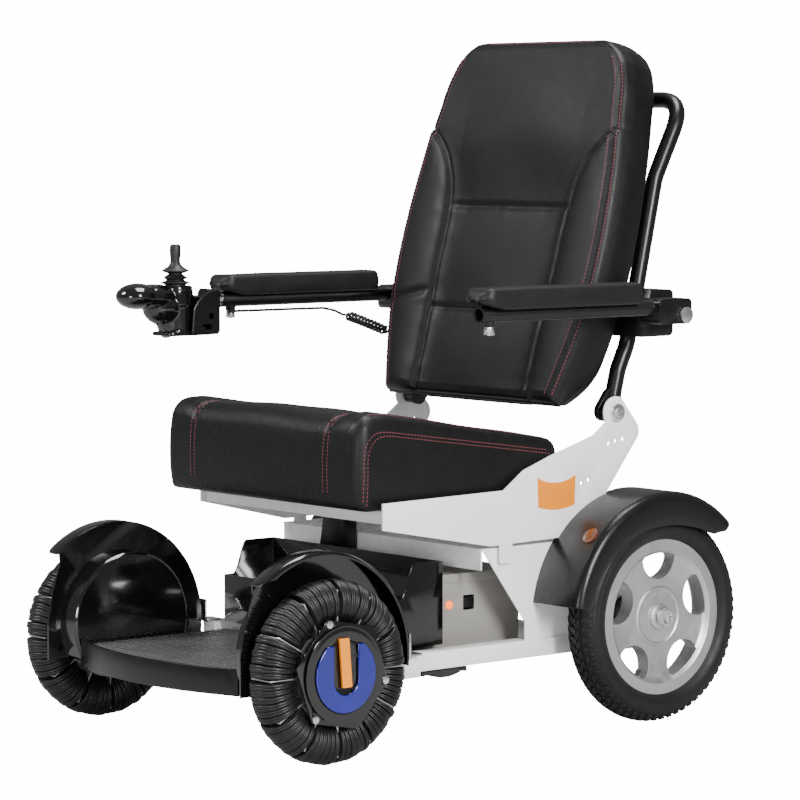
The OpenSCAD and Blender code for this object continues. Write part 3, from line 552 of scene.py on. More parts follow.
class Cushion:
    """A stuffed form over an outline: u across, w along, h out of the front face.

    half(w) is the outline's half width, front(u, w) and rear(u, w) the two faces, and
    place(u, w, h) puts a point in the frame.
    """

    def __init__(self, half, w_range, front, rear, place, bulge, columns=150, rows=170):
        self.half, self.front, self.rear, self.place = half, front, rear, place
        self.w_range, self.bulge = w_range, bulge
        self.columns, self.rows = columns, rows

    def face(self, height):
        """A grid of points over the outline, closer together near its edges."""
        s = np.sin(np.linspace(-np.pi / 2, np.pi / 2, self.columns) * 0.82) / math.sin(np.pi * 0.41)
        t = np.sin(np.linspace(-np.pi / 2, np.pi / 2, self.rows) * 0.82) / math.sin(np.pi * 0.41)
        lo, hi = self.w_range
        w = np.repeat(lo + (hi - lo) * (t + 1) / 2, self.columns)
        u = np.tile(s, self.rows) * self.half(w)
        return u, w, height(u, w)

    def rim(self):
        """The indices of a face's border, in order round it."""
        rows, columns = self.rows, self.columns
        return (list(range(columns))
                + [r * columns + columns - 1 for r in range(1, rows)]
                + [(rows - 1) * columns + c for c in range(columns - 2, -1, -1)]
                + [r * columns for r in range(rows - 2, 0, -1)])

    def build(self, name, material, bands=9):
        u, w, h = self.face(self.front)
        back_u, back_w, back_h = self.face(self.rear)
        rim = self.rim()
        flat = [np.stack([u, w, h], 1), np.stack([back_u, back_w, back_h], 1)]
        centre = np.array([0, sum(self.w_range) / 2])
        out = flat[0][rim][:, :2] - centre
        out /= np.linalg.norm(out, axis=1)[:, None]
        for i in range(1, bands):
            t = i / bands
            ring = flat[0][rim] * (1 - t) + flat[1][rim] * t
            ring[:, :2] += out * self.bulge * math.sin(math.pi * t) ** 0.7
            flat.append(ring)
        points = self.place(*np.concatenate(flat).T)
        count = self.rows * self.columns
        faces = grid_faces(self.rows, self.columns)
        faces += [tuple(reversed(f)) for f in grid_faces(self.rows, self.columns, start=count)]
        loops = [rim] + [[2 * count + i * len(rim) + k for k in range(len(rim))]
                         for i in range(bands - 1)] + [[count + k for k in rim]]
        for near, far in zip(loops, loops[1:]):
            for k in range(len(rim)):
                m = (k + 1) % len(rim)
                faces.append((near[k], far[k], far[m], near[m]))
        return mesh_piece(name, points, faces, material, sharp=180)


def depth_inside(u, w, half, length):
    """How far a point is inside the outline, across or along."""
    return np.minimum(half(w) - np.abs(u), np.minimum(w, length - w))


def smooth_table(pairs):
    """A smooth curve through (place, value) pairs."""
    at = np.array([p[0] for p in pairs], float)
    value = np.array([p[1] for p in pairs], float)
    slope = np.gradient(value, at)

    def curve(x):
        x = np.clip(x, at[0], at[-1])
        i = np.clip(np.searchsorted(at, x) - 1, 0, len(at) - 2)
        run = at[i + 1] - at[i]
        t = (x - at[i]) / run
        return ((2 * t ** 3 - 3 * t ** 2 + 1) * value[i] + (t ** 3 - 2 * t ** 2 + t) * run * slope[i]
                + (3 * t ** 2 - 2 * t ** 3) * value[i + 1] + (t ** 3 - t ** 2) * run * slope[i + 1])
    return curve


def rounding(distance, radius):
    """How far a face has fallen at a distance from its rounded edge."""
    t = np.clip(distance / radius, 0, 1)
    return radius * (1 - np.sqrt(np.clip(1 - (1 - t) ** 2, 0, 1)))


def groove(distance, width):
    """1 on a seam, easing to 0 at width from it, like cloth pulled down by thread."""
    t = np.clip(np.abs(distance) / width, 0, 1)
    return (1 - t) ** 2 * (1 + 0.6 * t)


def wave(u, w, seed, size):
    """A smooth, even-looking random swell between -1 and 1."""
    rng = np.random.default_rng(seed)
    total = np.zeros_like(u)
    for _ in range(9):
        angle, phase = rng.uniform(0, TAU, 2)
        rate = TAU / (size * rng.uniform(0.7, 1.5))
        total += np.sin(rate * (u * math.cos(angle) + w * math.sin(angle)) + phase)
    return total / 4.5


def puckers(along, across, reach, pitch, seed):
    """Little folds that run out from a seam and die away."""
    rng = np.random.default_rng(seed)
    wobble = sum(np.sin(TAU * along / (pitch * k) + rng.uniform(0, TAU)) for k in (1.0, 1.37, 2.3))
    return wobble / 3 * np.clip(1 - np.abs(across) / reach, 0, 1) ** 1.5


THREAD_R = 0.00075
STITCH_SHARE = 0.66
THREAD_SIDES = 6
THREAD_SWELL = ((0, 0.3), (0.15, 0.85), (0.5, 1), (0.85, 0.85), (1, 0.3))


def stitches(name, point, count, start, stop):
    """Raised threads along a line; point(t) gives (place, outward) for t in start..stop."""
    verts, faces = [], []
    step = (stop - start) / count
    for i in range(count):
        a, out = point(start + i * step)
        b, _ = point(start + (i + STITCH_SHARE) * step)
        run = (b - a).normalized()
        side = run.cross(out).normalized()
        base = len(verts)
        for share, swell in THREAD_SWELL:
            p = a.lerp(b, share) + out * (0.0002 * swell)
            for k in range(THREAD_SIDES):
                t = TAU * k / THREAD_SIDES
                verts.append(p + THREAD_R * swell * (side * math.cos(t) + out * 0.7 * math.sin(t)))
        faces += tube_faces(len(THREAD_SWELL), THREAD_SIDES, start=base)
    return mesh_piece(name, verts, faces, MAT["thread"], sharp=60)


def mark(piece, name, values):
    """Stores a value a vertex, for the material to read."""
    made = piece.data.attributes.new(name, "FLOAT", "POINT")
    made.data.foreach_set("value", np.asarray(values, np.float32))


RECLINE = math.radians(16)
BACK_T = 0.078
BACK_L = 0.568
BACK_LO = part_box("back_cushion")[0]
BACK_FOOT = Vector((0, BACK_LO.y, BACK_LO.z + BACK_T * math.sin(RECLINE)))
UP_BACK = np.array([0, math.sin(RECLINE), math.cos(RECLINE)])
OUT_BACK = np.array([0, -math.cos(RECLINE), math.sin(RECLINE)])

back_half = smooth_table([(0, 0.196), (0.05, 0.210), (0.12, 0.226), (0.20, 0.234), (0.30, 0.233),
                          (0.38, 0.225), (0.45, 0.214), (0.51, 0.201), (0.538, 0.186),
                          (0.554, 0.168), (0.564, 0.146), (0.568, 0.126)])
wing_seam = smooth_table([(-0.01, 0.127), (0.10, 0.131), (0.20, 0.135), (0.30, 0.138),
                          (0.345, 0.146), (0.38, 0.163), (0.405, 0.185), (0.425, 0.215), (0.445, 0.26)])
CROSS_SEAMS = (0.138, 0.302)
PANEL_ENDS = (0, *CROSS_SEAMS, 0.50)
CENTRE_DEPTH = 0.012


def back_front(u, w):
    """The back's front face: side wings and a head panel round three sunken panels."""
    au = np.abs(u)
    edge = depth_inside(u, w, back_half, BACK_L)
    across = au - wing_seam(w)
    inside = 1 / (1 + np.exp(across / 0.008))
    h = 0.002 - rounding(np.clip(edge, 0, 1), 0.017)
    wing_width = np.maximum(back_half(w) - wing_seam(w), 0.02)
    wing_bulge = 0.0035 * np.sin(np.pi * np.clip(across / wing_width, 0, 1))
    h = h + wing_bulge * np.clip((0.44 - w) / 0.03, 0, 1)
    head = np.clip((w - 0.30) / 0.13, 0, 1)
    h = h - CENTRE_DEPTH * inside * (1 - 0.85 * head * head * (3 - 2 * head))
    h = h - 0.0048 * groove(across, 0.0075)
    for i, seam in enumerate(CROSS_SEAMS):
        off = w - seam
        h = h - 0.0045 * groove(off, 0.008) * inside
        h = h + 0.0005 * puckers(u, off, 0.030, 0.026, 5 + i) * inside
    panel = np.clip(1 - (au / 0.135) ** 2, 0, 1) * inside
    for a, b in zip(PANEL_ENDS, PANEL_ENDS[1:]):
        h = h + 0.0035 * panel * np.sin(np.pi * np.clip((w - a) / (b - a), 0, 1))
    h = h + 0.0008 * puckers(w, across, 0.040, 0.036, 3)
    h = h + 0.0014 * wave(u, w, 11, 0.16) * np.clip(edge / 0.03, 0, 1)
    fold = (w - 0.150) + 0.25 * (au - 0.19)
    h = h - 0.004 * groove(fold, 0.012) * (u < 0) * np.clip(across / 0.02, 0, 1)
    for inset in (0.0105, 0.0135):
        h = h - 0.0010 * groove(edge - inset, 0.0022)
    return h


def back_rear(u, w):
    """The back's rear face, tucked in at its foot."""
    edge = depth_inside(u, w, back_half, BACK_L)
    tuck = np.clip(1 - w / 0.075, 0, 1) ** 2
    return -BACK_T + 0.002 + rounding(np.clip(edge, 0, 1), 0.016) + 0.040 * tuck


def back_place(u, w, h):
    """Stands the back up from its foot at the recline angle."""
    sideways = u[:, None] * np.array([1, 0, 0])
    return np.array(BACK_FOOT) + sideways + w[:, None] * UP_BACK + h[:, None] * OUT_BACK


def on_surface(cushion, u, w):
    """A point on a cushion's front face, and the way out of it."""
    def at(a, b):
        a, b = np.array([a]), np.array([b])
        return Vector(cushion.place(a, b, cushion.front(a, b))[0])
    here = at(u, w)
    out = (at(u + 0.002, w) - here).cross(at(u, w + 0.002) - here).normalized()
    return here, out


def make_back_cushion():
    """The back's cover, its double row of red stitches and the piping at its foot."""
    form = Cushion(back_half, (0, BACK_L), back_front, back_rear, back_place, 0.003)
    piece = form.build("back_cushion_cover", MAT["leather"])
    co = coordinates(piece) - np.array(BACK_FOOT)
    u, w = co[:, 0], co @ UP_BACK
    h = co @ OUT_BACK
    across = np.abs(u) - wing_seam(w)
    # Painted shade: this seam mask is strongest in each sewn groove on the front face, and the leather
    # darkens its colour there.
    seam = np.maximum(groove(across, 0.006), sum(groove(w - s, 0.005) * (across < 0) for s in CROSS_SEAMS))
    mark(piece, "seam", seam * (h > -0.045))
    fit(piece, "back", "back_cushion")
    for side in (-1, 1):
        for row, inset in enumerate((0.018, 0.006)):
            def point(w):
                u = side * (float(back_half(np.array(w))) - inset)
                return on_surface(form, u, w)
            thread = stitches(f"back_stitches_{'right' if side < 0 else 'left'}_{row}",
                              point, 92, 0.012, 0.540)
            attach(thread, "back")
    top = stitches("back_stitches_top", lambda u: on_surface(form, u, BACK_L - 0.006), 44, -0.122, 0.122)
    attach(top, "back")
    foot = [Vector(back_place(np.array([u]), np.array([0.002]), np.array([-0.014]))[0])
            for u in np.linspace(-0.19, 0.19, 25)]
    piping = sweep("back_piping", foot, 0.0035, MAT["leather"], 10)
    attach(piping, "back")


SEAT_LO, SEAT_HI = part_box("seat_cushion")
SEAT_HALF = (SEAT_HI.x - SEAT_LO.x) / 2
SEAT_LEN = SEAT_HI.y - SEAT_LO.y
SEAT_TOP = SEAT_HI.z
SEAT_FALL = 0.053
PANEL_HALF = 0.158


def seat_half(w):
    """The seat's plan outline, with rounded front and back corners."""
    corner = 0.022
    near = np.minimum(w, SEAT_LEN - w)
    return SEAT_HALF - 0.003 - rounding(np.clip(near, 0, 1), corner)


def seat_front(u, w):
    """The seat's top face: rolled front, ribbed middle panel and low side bolsters."""
    au = np.abs(u)
    h = SEAT_TOP - 0.004 - SEAT_FALL * np.clip((w - 0.05) / (SEAT_LEN - 0.07), 0, 1) ** 1.05
    h = h - rounding(np.clip(w, 0, 1), 0.034)
    h = h - rounding(np.clip(seat_half(w) - au, 0, 1), 0.016)
    h = h - rounding(np.clip(SEAT_LEN - w, 0, 1), 0.022)
    bolster = np.clip((au - PANEL_HALF) / 0.02, 0, 1)
    h = h + 0.005 * np.sin(np.pi * np.clip((au - PANEL_HALF) / 0.072, 0, 1)) * bolster
    crown = 0.006 * (1 - (au / PANEL_HALF) ** 2) * (au < PANEL_HALF)
    h = h + crown * np.clip(w / 0.06, 0, 1)
    h = h - 0.0045 * groove(au - PANEL_HALF, 0.010)
    for inset in (0.010, 0.016, 0.022):
        h = h - 0.0010 * groove(seat_half(w) - au - inset, 0.0022)
    h = h + 0.0012 * puckers(w, au - PANEL_HALF, 0.030, 0.024, 8)
    return h + 0.0015 * wave(u, w, 21, 0.15)


def seat_rear(u, w):
    """The seat's underside, tucked in at the front."""
    edge = depth_inside(u, w, seat_half, SEAT_LEN)
    tuck = np.clip(1 - w / 0.03, 0, 1) ** 2
    return SEAT_LO.z + 0.001 + rounding(np.clip(edge, 0, 1), 0.010) + 0.006 * tuck


def seat_place(u, w, h):
    """Lays the seat down from its front edge."""
    return np.stack([u, SEAT_LO.y + w, h], 1)


def on_front(piece, x):
    """Points down the seat's front face at one x, found by looking at it from the front."""
    tree = BVHTree.FromObject(piece, bpy.context.evaluated_depsgraph_get())

    def point(t):
        z = SEAT_TOP - 0.026 - t * (SEAT_TOP - SEAT_LO.z - 0.050)
        place, normal, _, _ = tree.ray_cast(Vector((x, SEAT_LO.y - 0.2, z)), Vector((0, 1, 0)))
        return place, normal
    return point


def on_side(piece, side, line):
    """Points along a line over a side face, found by looking at it from that side."""
    tree = BVHTree.FromObject(piece, bpy.context.evaluated_depsgraph_get())
    runs = [(b - a).length for a, b in zip(line, line[1:])]
    ends = np.concatenate([[0], np.cumsum(runs)])

    def point(t):
        at = t * ends[-1]
        y, z = (float(np.interp(at, ends, [p[k] for p in line])) for k in (1, 2))
        place, normal, _, _ = tree.ray_cast(Vector((side * 0.6, y, z)), Vector((-side, 0, 0)))
        return place, normal
    return point


def make_seat_cushion():
    """The seat's cover and its stitches over the top, front and sides."""
    form = Cushion(seat_half, (0, SEAT_LEN), seat_front, seat_rear, seat_place, 0.003)
    piece = form.build("seat_cushion_cover", MAT["ribbed"])
    co = coordinates(piece)
    au, w = np.abs(co[:, 0]), co[:, 1] - SEAT_LO.y
    # Painted shade: this seam mask follows the grooves along the middle panel's edges, and the leather
    # darkens its colour there.
    mark(piece, "seam", groove(au - PANEL_HALF, 0.005) * (co[:, 2] > SEAT_LO.z + 0.04))
    mark(piece, "panel", np.clip((PANEL_HALF - 0.003 - au) / 0.002, 0, 1))
    fit(piece, "base", "seat_cushion")
    for side in (-1, 1):
        hand = "right" if side < 0 else "left"
        for row, u in enumerate((PANEL_HALF + 0.005, PANEL_HALF - 0.005)):
            thread = stitches(f"seat_panel_stitches_{hand}_{row}",
                              lambda w: on_surface(form, side * u, w), 52, 0.006, SEAT_LEN - 0.03)
            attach(thread, "base")
            front = stitches(f"seat_front_stitches_{hand}_{row}", on_front(piece, side * u), 17, 0.0, 1.0)
            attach(front, "base")
        edge = stitches(f"seat_edge_stitches_{hand}",
                        lambda w: on_surface(form, side * (SEAT_HALF - 0.016), w),
                        50, 0.03, SEAT_LEN - 0.03)
        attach(edge, "base")
        fore, low, high = SEAT_LO.y + 0.012, SEAT_LO.z + 0.016, SEAT_TOP - 0.020
        tail = (0, SEAT_LO.y + SEAT_LEN - 0.03, high - SEAT_FALL + 0.004)
        line = rounded([(0, fore, low), (0, fore, high), tail], 0.040, 10)
        for row, drop in enumerate((0.0, 0.006)):
            shifted = [Vector((0, p.y + drop, p.z - drop)) for p in line]
            thread = stitches(f"seat_side_stitches_{hand}_{row}",
                              on_side(piece, side, shifted), 74, 0.0, 1.0)
            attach(thread, "base")


def make_arm_pad(side, body):
    """Moulded pad: rounded bevelled front, crowned top and a shallow mould line."""
    node = f"arm_pad_{side}"
    lo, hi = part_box(node)
    half_x, length = (hi.x - lo.x) / 2, hi.y - lo.y
    centre = (lo.x + hi.x) / 2

    def half(w):
        return (half_x - 0.0015 - rounding(np.clip(w, 0, 1), 0.020)
                - rounding(np.clip(length - w, 0, 1), 0.014))

    def front(u, w):
        h = hi.z - 0.0005 - rounding(np.clip(half(w) - np.abs(u), 0, 1), 0.006)
        h = h - rounding(np.clip(w, 0, 1), 0.017) - rounding(np.clip(length - w, 0, 1), 0.010)
        return h + 0.0015 * (1 - (u / half_x) ** 2) + 0.0004 * wave(u, w, 31, 0.09)

    def rear(u, w):
        edge = depth_inside(u, w, half, length)
        return lo.z - 0.006 + rounding(np.clip(edge, 0, 1), 0.005) + 0.010 * np.clip(1 - w / 0.04, 0, 1)

    def place(u, w, h):
        return np.stack([centre + u, lo.y + w, h], 1)

    form = Cushion(half, (0, length), front, rear, place, 0.0015, columns=60, rows=120)
    piece = form.build(f"arm_pad_{side}_skin", MAT["pad"])
    fit(piece, body, node)


make_back_cushion()
make_seat_cushion()
make_arm_pad("left", "left_arm")
make_arm_pad("right", "right_arm")

# ---- controller cable ----

WIRE = 0.0042
COIL_R = 0.0066
COIL_TURNS = 12
COIL_STEPS = 16


def make_cable():
    """A lead clipped under the right arm tube, a coil behind the back, and a short tail."""
    start = Vector((-0.288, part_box("controller_cable")[0].y, 0.603))
    lead = rounded([start, (-0.288, 0.070, 0.6025), (-0.288, 0.128, 0.602),
                    (-0.290, 0.153, 0.597), (-0.290, 0.168, 0.5905)], 0.02, 5)
    coil_a, coil_m, coil_b = (Vector(p) for p in
                              ((-0.288, 0.176, 0.589), (-0.284, 0.212, 0.577), (-0.280, 0.252, 0.561)))
    points = list(lead)
    steps = COIL_TURNS * COIL_STEPS
    for i in range(steps + 1):
        t = i / steps
        core = (1 - t) ** 2 * coil_a + 2 * t * (1 - t) * coil_m + t * t * coil_b
        along = (2 * (1 - t) * (coil_m - coil_a) + 2 * t * (coil_b - coil_m)).normalized()
        side = along.cross(Vector((0, 0, 1))).normalized()
        up = side.cross(along)
        reach = COIL_R * min(1, 14 * t + 0.15, 14 * (1 - t) + 0.15)
        turn = TAU * COIL_TURNS * t
        points.append(core + reach * (side * math.cos(turn) + up * math.sin(turn)))
    points += rounded([points[-1], (-0.277, 0.262, 0.558), (-0.272, 0.283, 0.551),
                       (-0.2665, 0.299, 0.539)], 0.02, 5)[1:]
    curve = bpy.data.curves.new("controller_cord", "CURVE")
    curve.dimensions = "3D"
    curve.bevel_depth = WIRE / 2
    curve.bevel_resolution = 5
    curve.use_fill_caps = True
    spline = curve.splines.new("POLY")
    spline.points.add(len(points) - 1)
    for made, p in zip(spline.points, points):
        made.co = (*p, 1)
    curve.materials.append(MAT["rubber"])
    cord = link(bpy.data.objects.new("controller_cord", curve))
    fit(cord, "right_arm", "controller_cable")


make_cable()

# ---- wheels ----

TREAD_DEPTH = 0.0030
TREAD_BLOCKS = 64


def make_tyre(side):
    """A smooth casing with a ring line, two rows of staggered blocks and shoulder lugs."""
    node = f"rear_tyre_{side}"
    lo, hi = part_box(node)
    centre = (lo + hi) / 2
    radius, half = (hi.z - lo.z) / 2, (hi.x - lo.x) / 2
    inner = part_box(f"rear_rim_{side}")
    rim_r = (inner[1].z - inner[0].z) / 2 - 0.004
    rise = 0.023

    def section(angle, lift=0.0):
        a = math.radians(angle)
        return (radius - rise - TREAD_DEPTH + (rise + lift) * math.sin(a),
                (half - 0.0005 + lift * 0.5) * math.cos(a))

    profile = [(rim_r, half * 0.62)]
    for angle in range(-36, 217, 4):
        r, x = section(angle)
        ridge = 0.0007 if angle in (20, 160) else 0
        profile.append((r + ridge, x * (1 + ridge * 14)))
    profile.append((rim_r, -half * 0.62))
    casing = lathe(f"rear_casing_{side}", profile, centre, (1, 0, 0), MAT["tyre"], steps=144)
    body = f"{side}_drive"
    fit(casing, body, node)

    verts, faces = [], []

    def block(turn, width, a0, a1, lift=TREAD_DEPTH, slant=0.0):
        base = len(verts)
        for level, shrink in ((-0.0006, 0.0), (lift * 0.75, 0.06), (lift, 0.16)):
            for i in range(3):
                across = a0 + (a1 - a0) * (shrink + (1 - 2 * shrink) * i / 2)
                r, x = section(across, level)
                for k in (-1, 1):
                    t = turn + slant * (i - 1) + k * width * (1 - 1.2 * shrink)
                    verts.append(Vector((centre.x + x, centre.y + r * math.cos(t),
                                         centre.z + r * math.sin(t))))
        ring = (0, 1, 3, 5, 4, 2)
        for level in (0, 6):
            for k in range(6):
                m = (k + 1) % 6
                faces.append((base + level + ring[k], base + level + ring[m],
                              base + level + 6 + ring[m], base + level + 6 + ring[k]))
        faces.append((base + 12, base + 14, base + 15, base + 13))
        faces.append((base + 14, base + 16, base + 17, base + 15))

    step = TAU / TREAD_BLOCKS
    for i in range(TREAD_BLOCKS):
        turn = TAU * i / TREAD_BLOCKS
        block(turn, step * 0.34, 74, 89, slant=0.12 * step)
        block(turn + step / 2, step * 0.34, 91, 106, slant=-0.12 * step)
        block(turn + step / 2, step * 0.30, 55, 70, slant=0.1 * step)
        block(turn, step * 0.30, 110, 125, slant=-0.1 * step)
        block(turn, step * 0.24, 33, 51, lift=TREAD_DEPTH * 0.8)
        block(turn + step / 2, step * 0.24, 129, 147, lift=TREAD_DEPTH * 0.8)
    tread = mesh_piece(f"rear_tread_{side}", verts, faces, MAT["tyre"], sharp=50)
    fit(tread, body)

    stem_at = math.radians(-118)
    out = Vector((0, math.cos(stem_at), math.sin(stem_at)))
    foot = centre + out * (rim_r - 0.002) + Vector((half * (0.45 if side == "left" else -0.45), 0, 0))
    profile = [(0.0001, 0), (0.0042, 0), (0.0038, 0.010), (0.0030, 0.013),
               (0.0030, 0.017), (0.0034, 0.018), (0.0034, 0.026), (0.0001, 0.0275)]
    stem = lathe(f"valve_stem_{side}", profile, foot, -out, MAT["rubber"], steps=24)
    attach(stem, body)


make_tyre("left")
make_tyre("right")

WINDOWS = 5
WINDOW_AT = 0.0885
WINDOW_R = 0.0325
WINDOW_REACH = 0.0955


def window_outline():
    """A round window whose outer side follows the rim."""
    at, r, reach = WINDOW_AT, WINDOW_R, WINDOW_REACH
    meet = math.acos((at ** 2 + reach ** 2 - r ** 2) / (2 * at * reach))
    start = math.atan2(reach * math.sin(meet), reach * math.cos(meet) - at)
    outer = [(reach * math.cos(a), reach * math.sin(a))
             for a in np.linspace(-meet * 0.93, meet * 0.93, 9)]
    return outer + [(at + r * math.cos(a), r * math.sin(a))
                    for a in np.linspace(start + 0.12, TAU - start - 0.12, 25)]


def make_rim(side):
    """Cast rim: a dished hub, five broad spokes between round windows, and a flat outer ring."""
    node = f"rear_rim_{side}"
    lo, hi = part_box(node)
    tyre = mid(f"rear_tyre_{side}")
    radius = (hi.z - lo.z) / 2
    out = 1 if side == "left" else -1
    profile = [(0.0001, 0.0205), (0.0165, 0.0205), (0.0190, 0.0190), (0.0200, 0.0150), (0.0385, 0.0140),
               (0.0405, 0.0155), (0.0435, 0.0155), (0.0455, 0.0135), (0.0900, 0.0135), (0.0945, 0.0150),
               (0.0985, 0.0195), (0.1005, 0.0210), (radius - 0.002, 0.0210), (radius, 0.0190),
               (radius, -0.0190), (radius - 0.002, -0.0205), (0.1030, -0.0205), (0.1000, -0.0120),
               (0.0975, -0.0080), (0.0500, -0.0120), (0.0001, -0.0120)]
    rim = lathe(f"rim_casting_{side}", profile, tyre, (out, 0, 0), MAT["alloy"], steps=120)
    cutters = []
    for i in range(WINDOWS):
        turn = TAU * (0.25 + i / WINDOWS)
        outline = [(tyre.y + y * math.cos(turn) - z * math.sin(turn),
                    tyre.z + y * math.sin(turn) + z * math.cos(turn)) for y, z in window_outline()]
        cutters.append(slab_part(outline, 0, tyre.x - 0.05, tyre.x + 0.05))
    cut_out(rim, cutters)
    soften(rim, 0.0016)
    body = f"{side}_drive"
    fit(rim, body, node)
    nut = lathe(f"hub_nut_{side}", [(0.0001, 0.0270), (0.0038, 0.0272), (0.0042, 0.0262), (0.0070, 0.0262),
                                    (0.0078, 0.0252), (0.0078, 0.0215), (0.0105, 0.0212), (0.0105, 0.0200)],
                tyre, (out, 0, 0), MAT["steel"], steps=6, sharp=20)
    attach(nut, body)


def make_rear_fender(side):
    """Pressed arch over the tyre with a deep rounded lip that narrows to the tail."""
    node = f"rear_fender_{side}"
    lo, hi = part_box(node)
    tyre = mid(f"rear_tyre_{side}")
    out = 1 if side == "left" else -1
    inner_x = abs(lo.x if side == "left" else hi.x)
    outer_x = abs(hi.x if side == "left" else lo.x)
    crown = hi.z - tyre.z - 0.0035
    deep = smooth_table([(44, 0.010), (52, 0.024), (66, 0.032), (90, 0.036), (120, 0.030), (150, 0.020),
                         (171, 0.014)])
    lip_r = 0.014
    flat = outer_x - lip_r

    def section(angle):
        """The (x, drop) points across the fender at an angle round the wheel."""
        ease = min(1.0, (angle - 44.5) / 7.0) ** 0.5
        lip = float(deep(angle)) * ease
        bend = [(flat + lip_r * math.sin(t), -lip_r + lip_r * math.cos(t))
                for t in np.linspace(0.2, math.pi / 2, 7)]
        return ([(inner_x + (1 - ease) * 0.030, 0.0), (flat, 0.0)] + bend
                + [(outer_x, -lip_r - lip * 0.6), (outer_x - 0.001, -lip_r - lip)])

    angles = np.linspace(46, 171, 90)
    verts = []
    for angle in angles:
        a = math.radians(angle)
        for x, drop in section(angle):
            r = crown + drop
            verts.append((out * x, tyre.y + r * math.cos(a), tyre.z + r * math.sin(a)))
    faces = grid_faces(len(angles), len(section(angles[0])))
    fender = mesh_piece(f"rear_guard_{side}", verts, faces, MAT["satin"], sharp=60)
    modify(fender, "SOLIDIFY", thickness=0.0028, offset=-1)
    apply_modifiers(fender)
    soften(fender, 0.0009, segments=2)
    fit(fender, "base", node)


SEGMENTS = 12
DISCS = 6
DISC_ROWS = ((-1.0, 0.88), (-0.98, 0.95), (-0.75, 0.988), (-0.40, 1.0), (-0.10, 0.992), (0.0, 0.972),
             (0.10, 0.992), (0.40, 1.0), (0.75, 0.988), (0.98, 0.95), (1.0, 0.88))


def make_discs(side):
    """Ribbed rubber discs, threaded in groups of six on a ring, with the fins between groups."""
    node = f"omni_discs_{side}"
    lo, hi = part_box(node)
    hub = (lo + hi) / 2
    disc_r = (hi.x - lo.x) / 2
    ring_r = (hi.z - lo.z) / 2 - disc_r
    gap = math.radians(2.8)
    step = (TAU / SEGMENTS - gap) / DISCS
    rng = np.random.default_rng(4)
    verts, faces = [], []
    sides = 40
    for i in range(SEGMENTS):
        for k in range(DISCS):
            turn = TAU * i / SEGMENTS + gap / 2 + (k + 0.5) * step
            lean, grow = rng.uniform(-0.045, 0.045), rng.uniform(-0.0022, 0.0002)
            radial = Vector((0, math.cos(turn), math.sin(turn)))
            along = Vector((0, -math.sin(turn), math.cos(turn)))
            centre = hub + radial * ring_r
            base = len(verts)
            for share, size in DISC_ROWS:
                for m in range(sides):
                    t = TAU * m / sides
                    up = math.cos(t)
                    half = (ring_r + disc_r * up) * step * 0.5
                    tilt = lean * disc_r * up * 0.5
                    r = (disc_r + grow) * size
                    verts.append(centre + along * (share * half * 0.97 + tilt)
                                 + (radial * up + Vector((1, 0, 0)) * math.sin(t)) * r)
            faces += tube_faces(len(DISC_ROWS), sides, start=base)
    discs = mesh_piece(f"roller_discs_{side}", verts, faces, MAT["disc"], sharp=60)
    fit(discs, f"{side}_omni", node)


def make_cap(side):
    """Black dish with a raised blue horseshoe and a blank orange strip in its mouth."""
    lo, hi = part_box(f"omni_cap_{side}")
    centre = (lo + hi) / 2
    out = 1 if side == "left" else -1
    face = hi.x if side == "left" else lo.x
    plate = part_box(f"omni_plate_{side}")
    base_x = plate[1].x if side == "left" else plate[0].x
    radius = (hi.z - lo.z) / 2
    outer, inner, mouth = radius * 1.05, radius * 0.43, radius * 0.84
    depth = out * (face - base_x)
    ring = lathe(f"cap_dish_{side}", [
        (radius * 1.34, -0.002), (radius * 1.36, 0.0012), (radius * 1.32, depth * 0.55),
        (radius * 1.24, depth * 0.95), (radius * 1.16, depth), (radius * 1.10, depth * 0.80),
        (radius * 1.04, depth * 0.85), (radius * 0.9, -0.002)],
        (base_x, centre.y, centre.z), (out, 0, 0), MAT["gloss"], steps=96)

    def slab(name, outline, rise, material, edge):
        lo_x, hi_x = sorted((face - out * 0.0006, face + out * rise))
        verts, faces = slab_part([(centre.y + y, centre.z + z) for y, z in outline], 0, lo_x, hi_x)
        piece = mesh_piece(f"{name}_{side}", verts, faces, MAT[material], sharp=40)
        soften(piece, edge)
        return piece

    start = math.pi - math.asin(mouth / outer)
    outline = [(outer * math.cos(a), outer * math.sin(a))
               for a in np.linspace(start, 3 * math.pi - start, 48)]
    outline += [(inner * math.cos(a), inner * math.sin(a) - 0.006) for a in np.linspace(TAU, math.pi, 18)]
    outline.insert(48, (inner, mouth))
    outline.append((-inner, mouth))
    shoe = slab("cap_horseshoe", outline, 0.0024, "blue", 0.0014)
    half_w, lean = 0.0085, 0.08
    strip = [(y - lean * z, z) for y, z in round_rect(-half_w, -0.017, half_w, 0.052, 0.0015)]
    label = slab("cap_strip", strip, 0.0034, "orange", 0.0005)
    for piece, finish in ((ring, "black_gloss"), (shoe, "blue_gloss"), (label, "orange_lens")):
        fit(piece, f"{side}_omni")


for hand in ("left", "right"):
    make_rim(hand)
    make_rear_fender(hand)
    make_discs(hand)
    make_cap(hand)

# ---- back frame ----

TUBE_R = 0.0125
TUBE_X = 0.215
BOSS_PROFILE = [(0.0078, 0.0), (0.0132, 0.0), (0.0132, 0.0205), (0.0078, 0.0205)]
NUT_PROFILE = [(0.0001, 0.0065), (0.0040, 0.0068), (0.0046, 0.0056), (0.0070, 0.0056),
               (0.0076, 0.0046), (0.0076, 0.0014), (0.0110, 0.0012), (0.0110, -0.0005)]
PIVOT = mid("recline_pins")
SIDE_ROUTE = [(0.28215, 0.484), (0.29215, 0.523), (0.31015, 0.560), (0.3674, 0.810), (0.4300, 0.9290)]
CROSS_BARS = [(0.317, 0.590), (0.3617, 0.785)]
MOUNT_X = 0.11


def back_face(z):
    """The Y of the back shell's rear face at height z."""
    return BACK_FOOT.y + (z - BACK_FOOT.z) * math.tan(RECLINE) + 0.0865


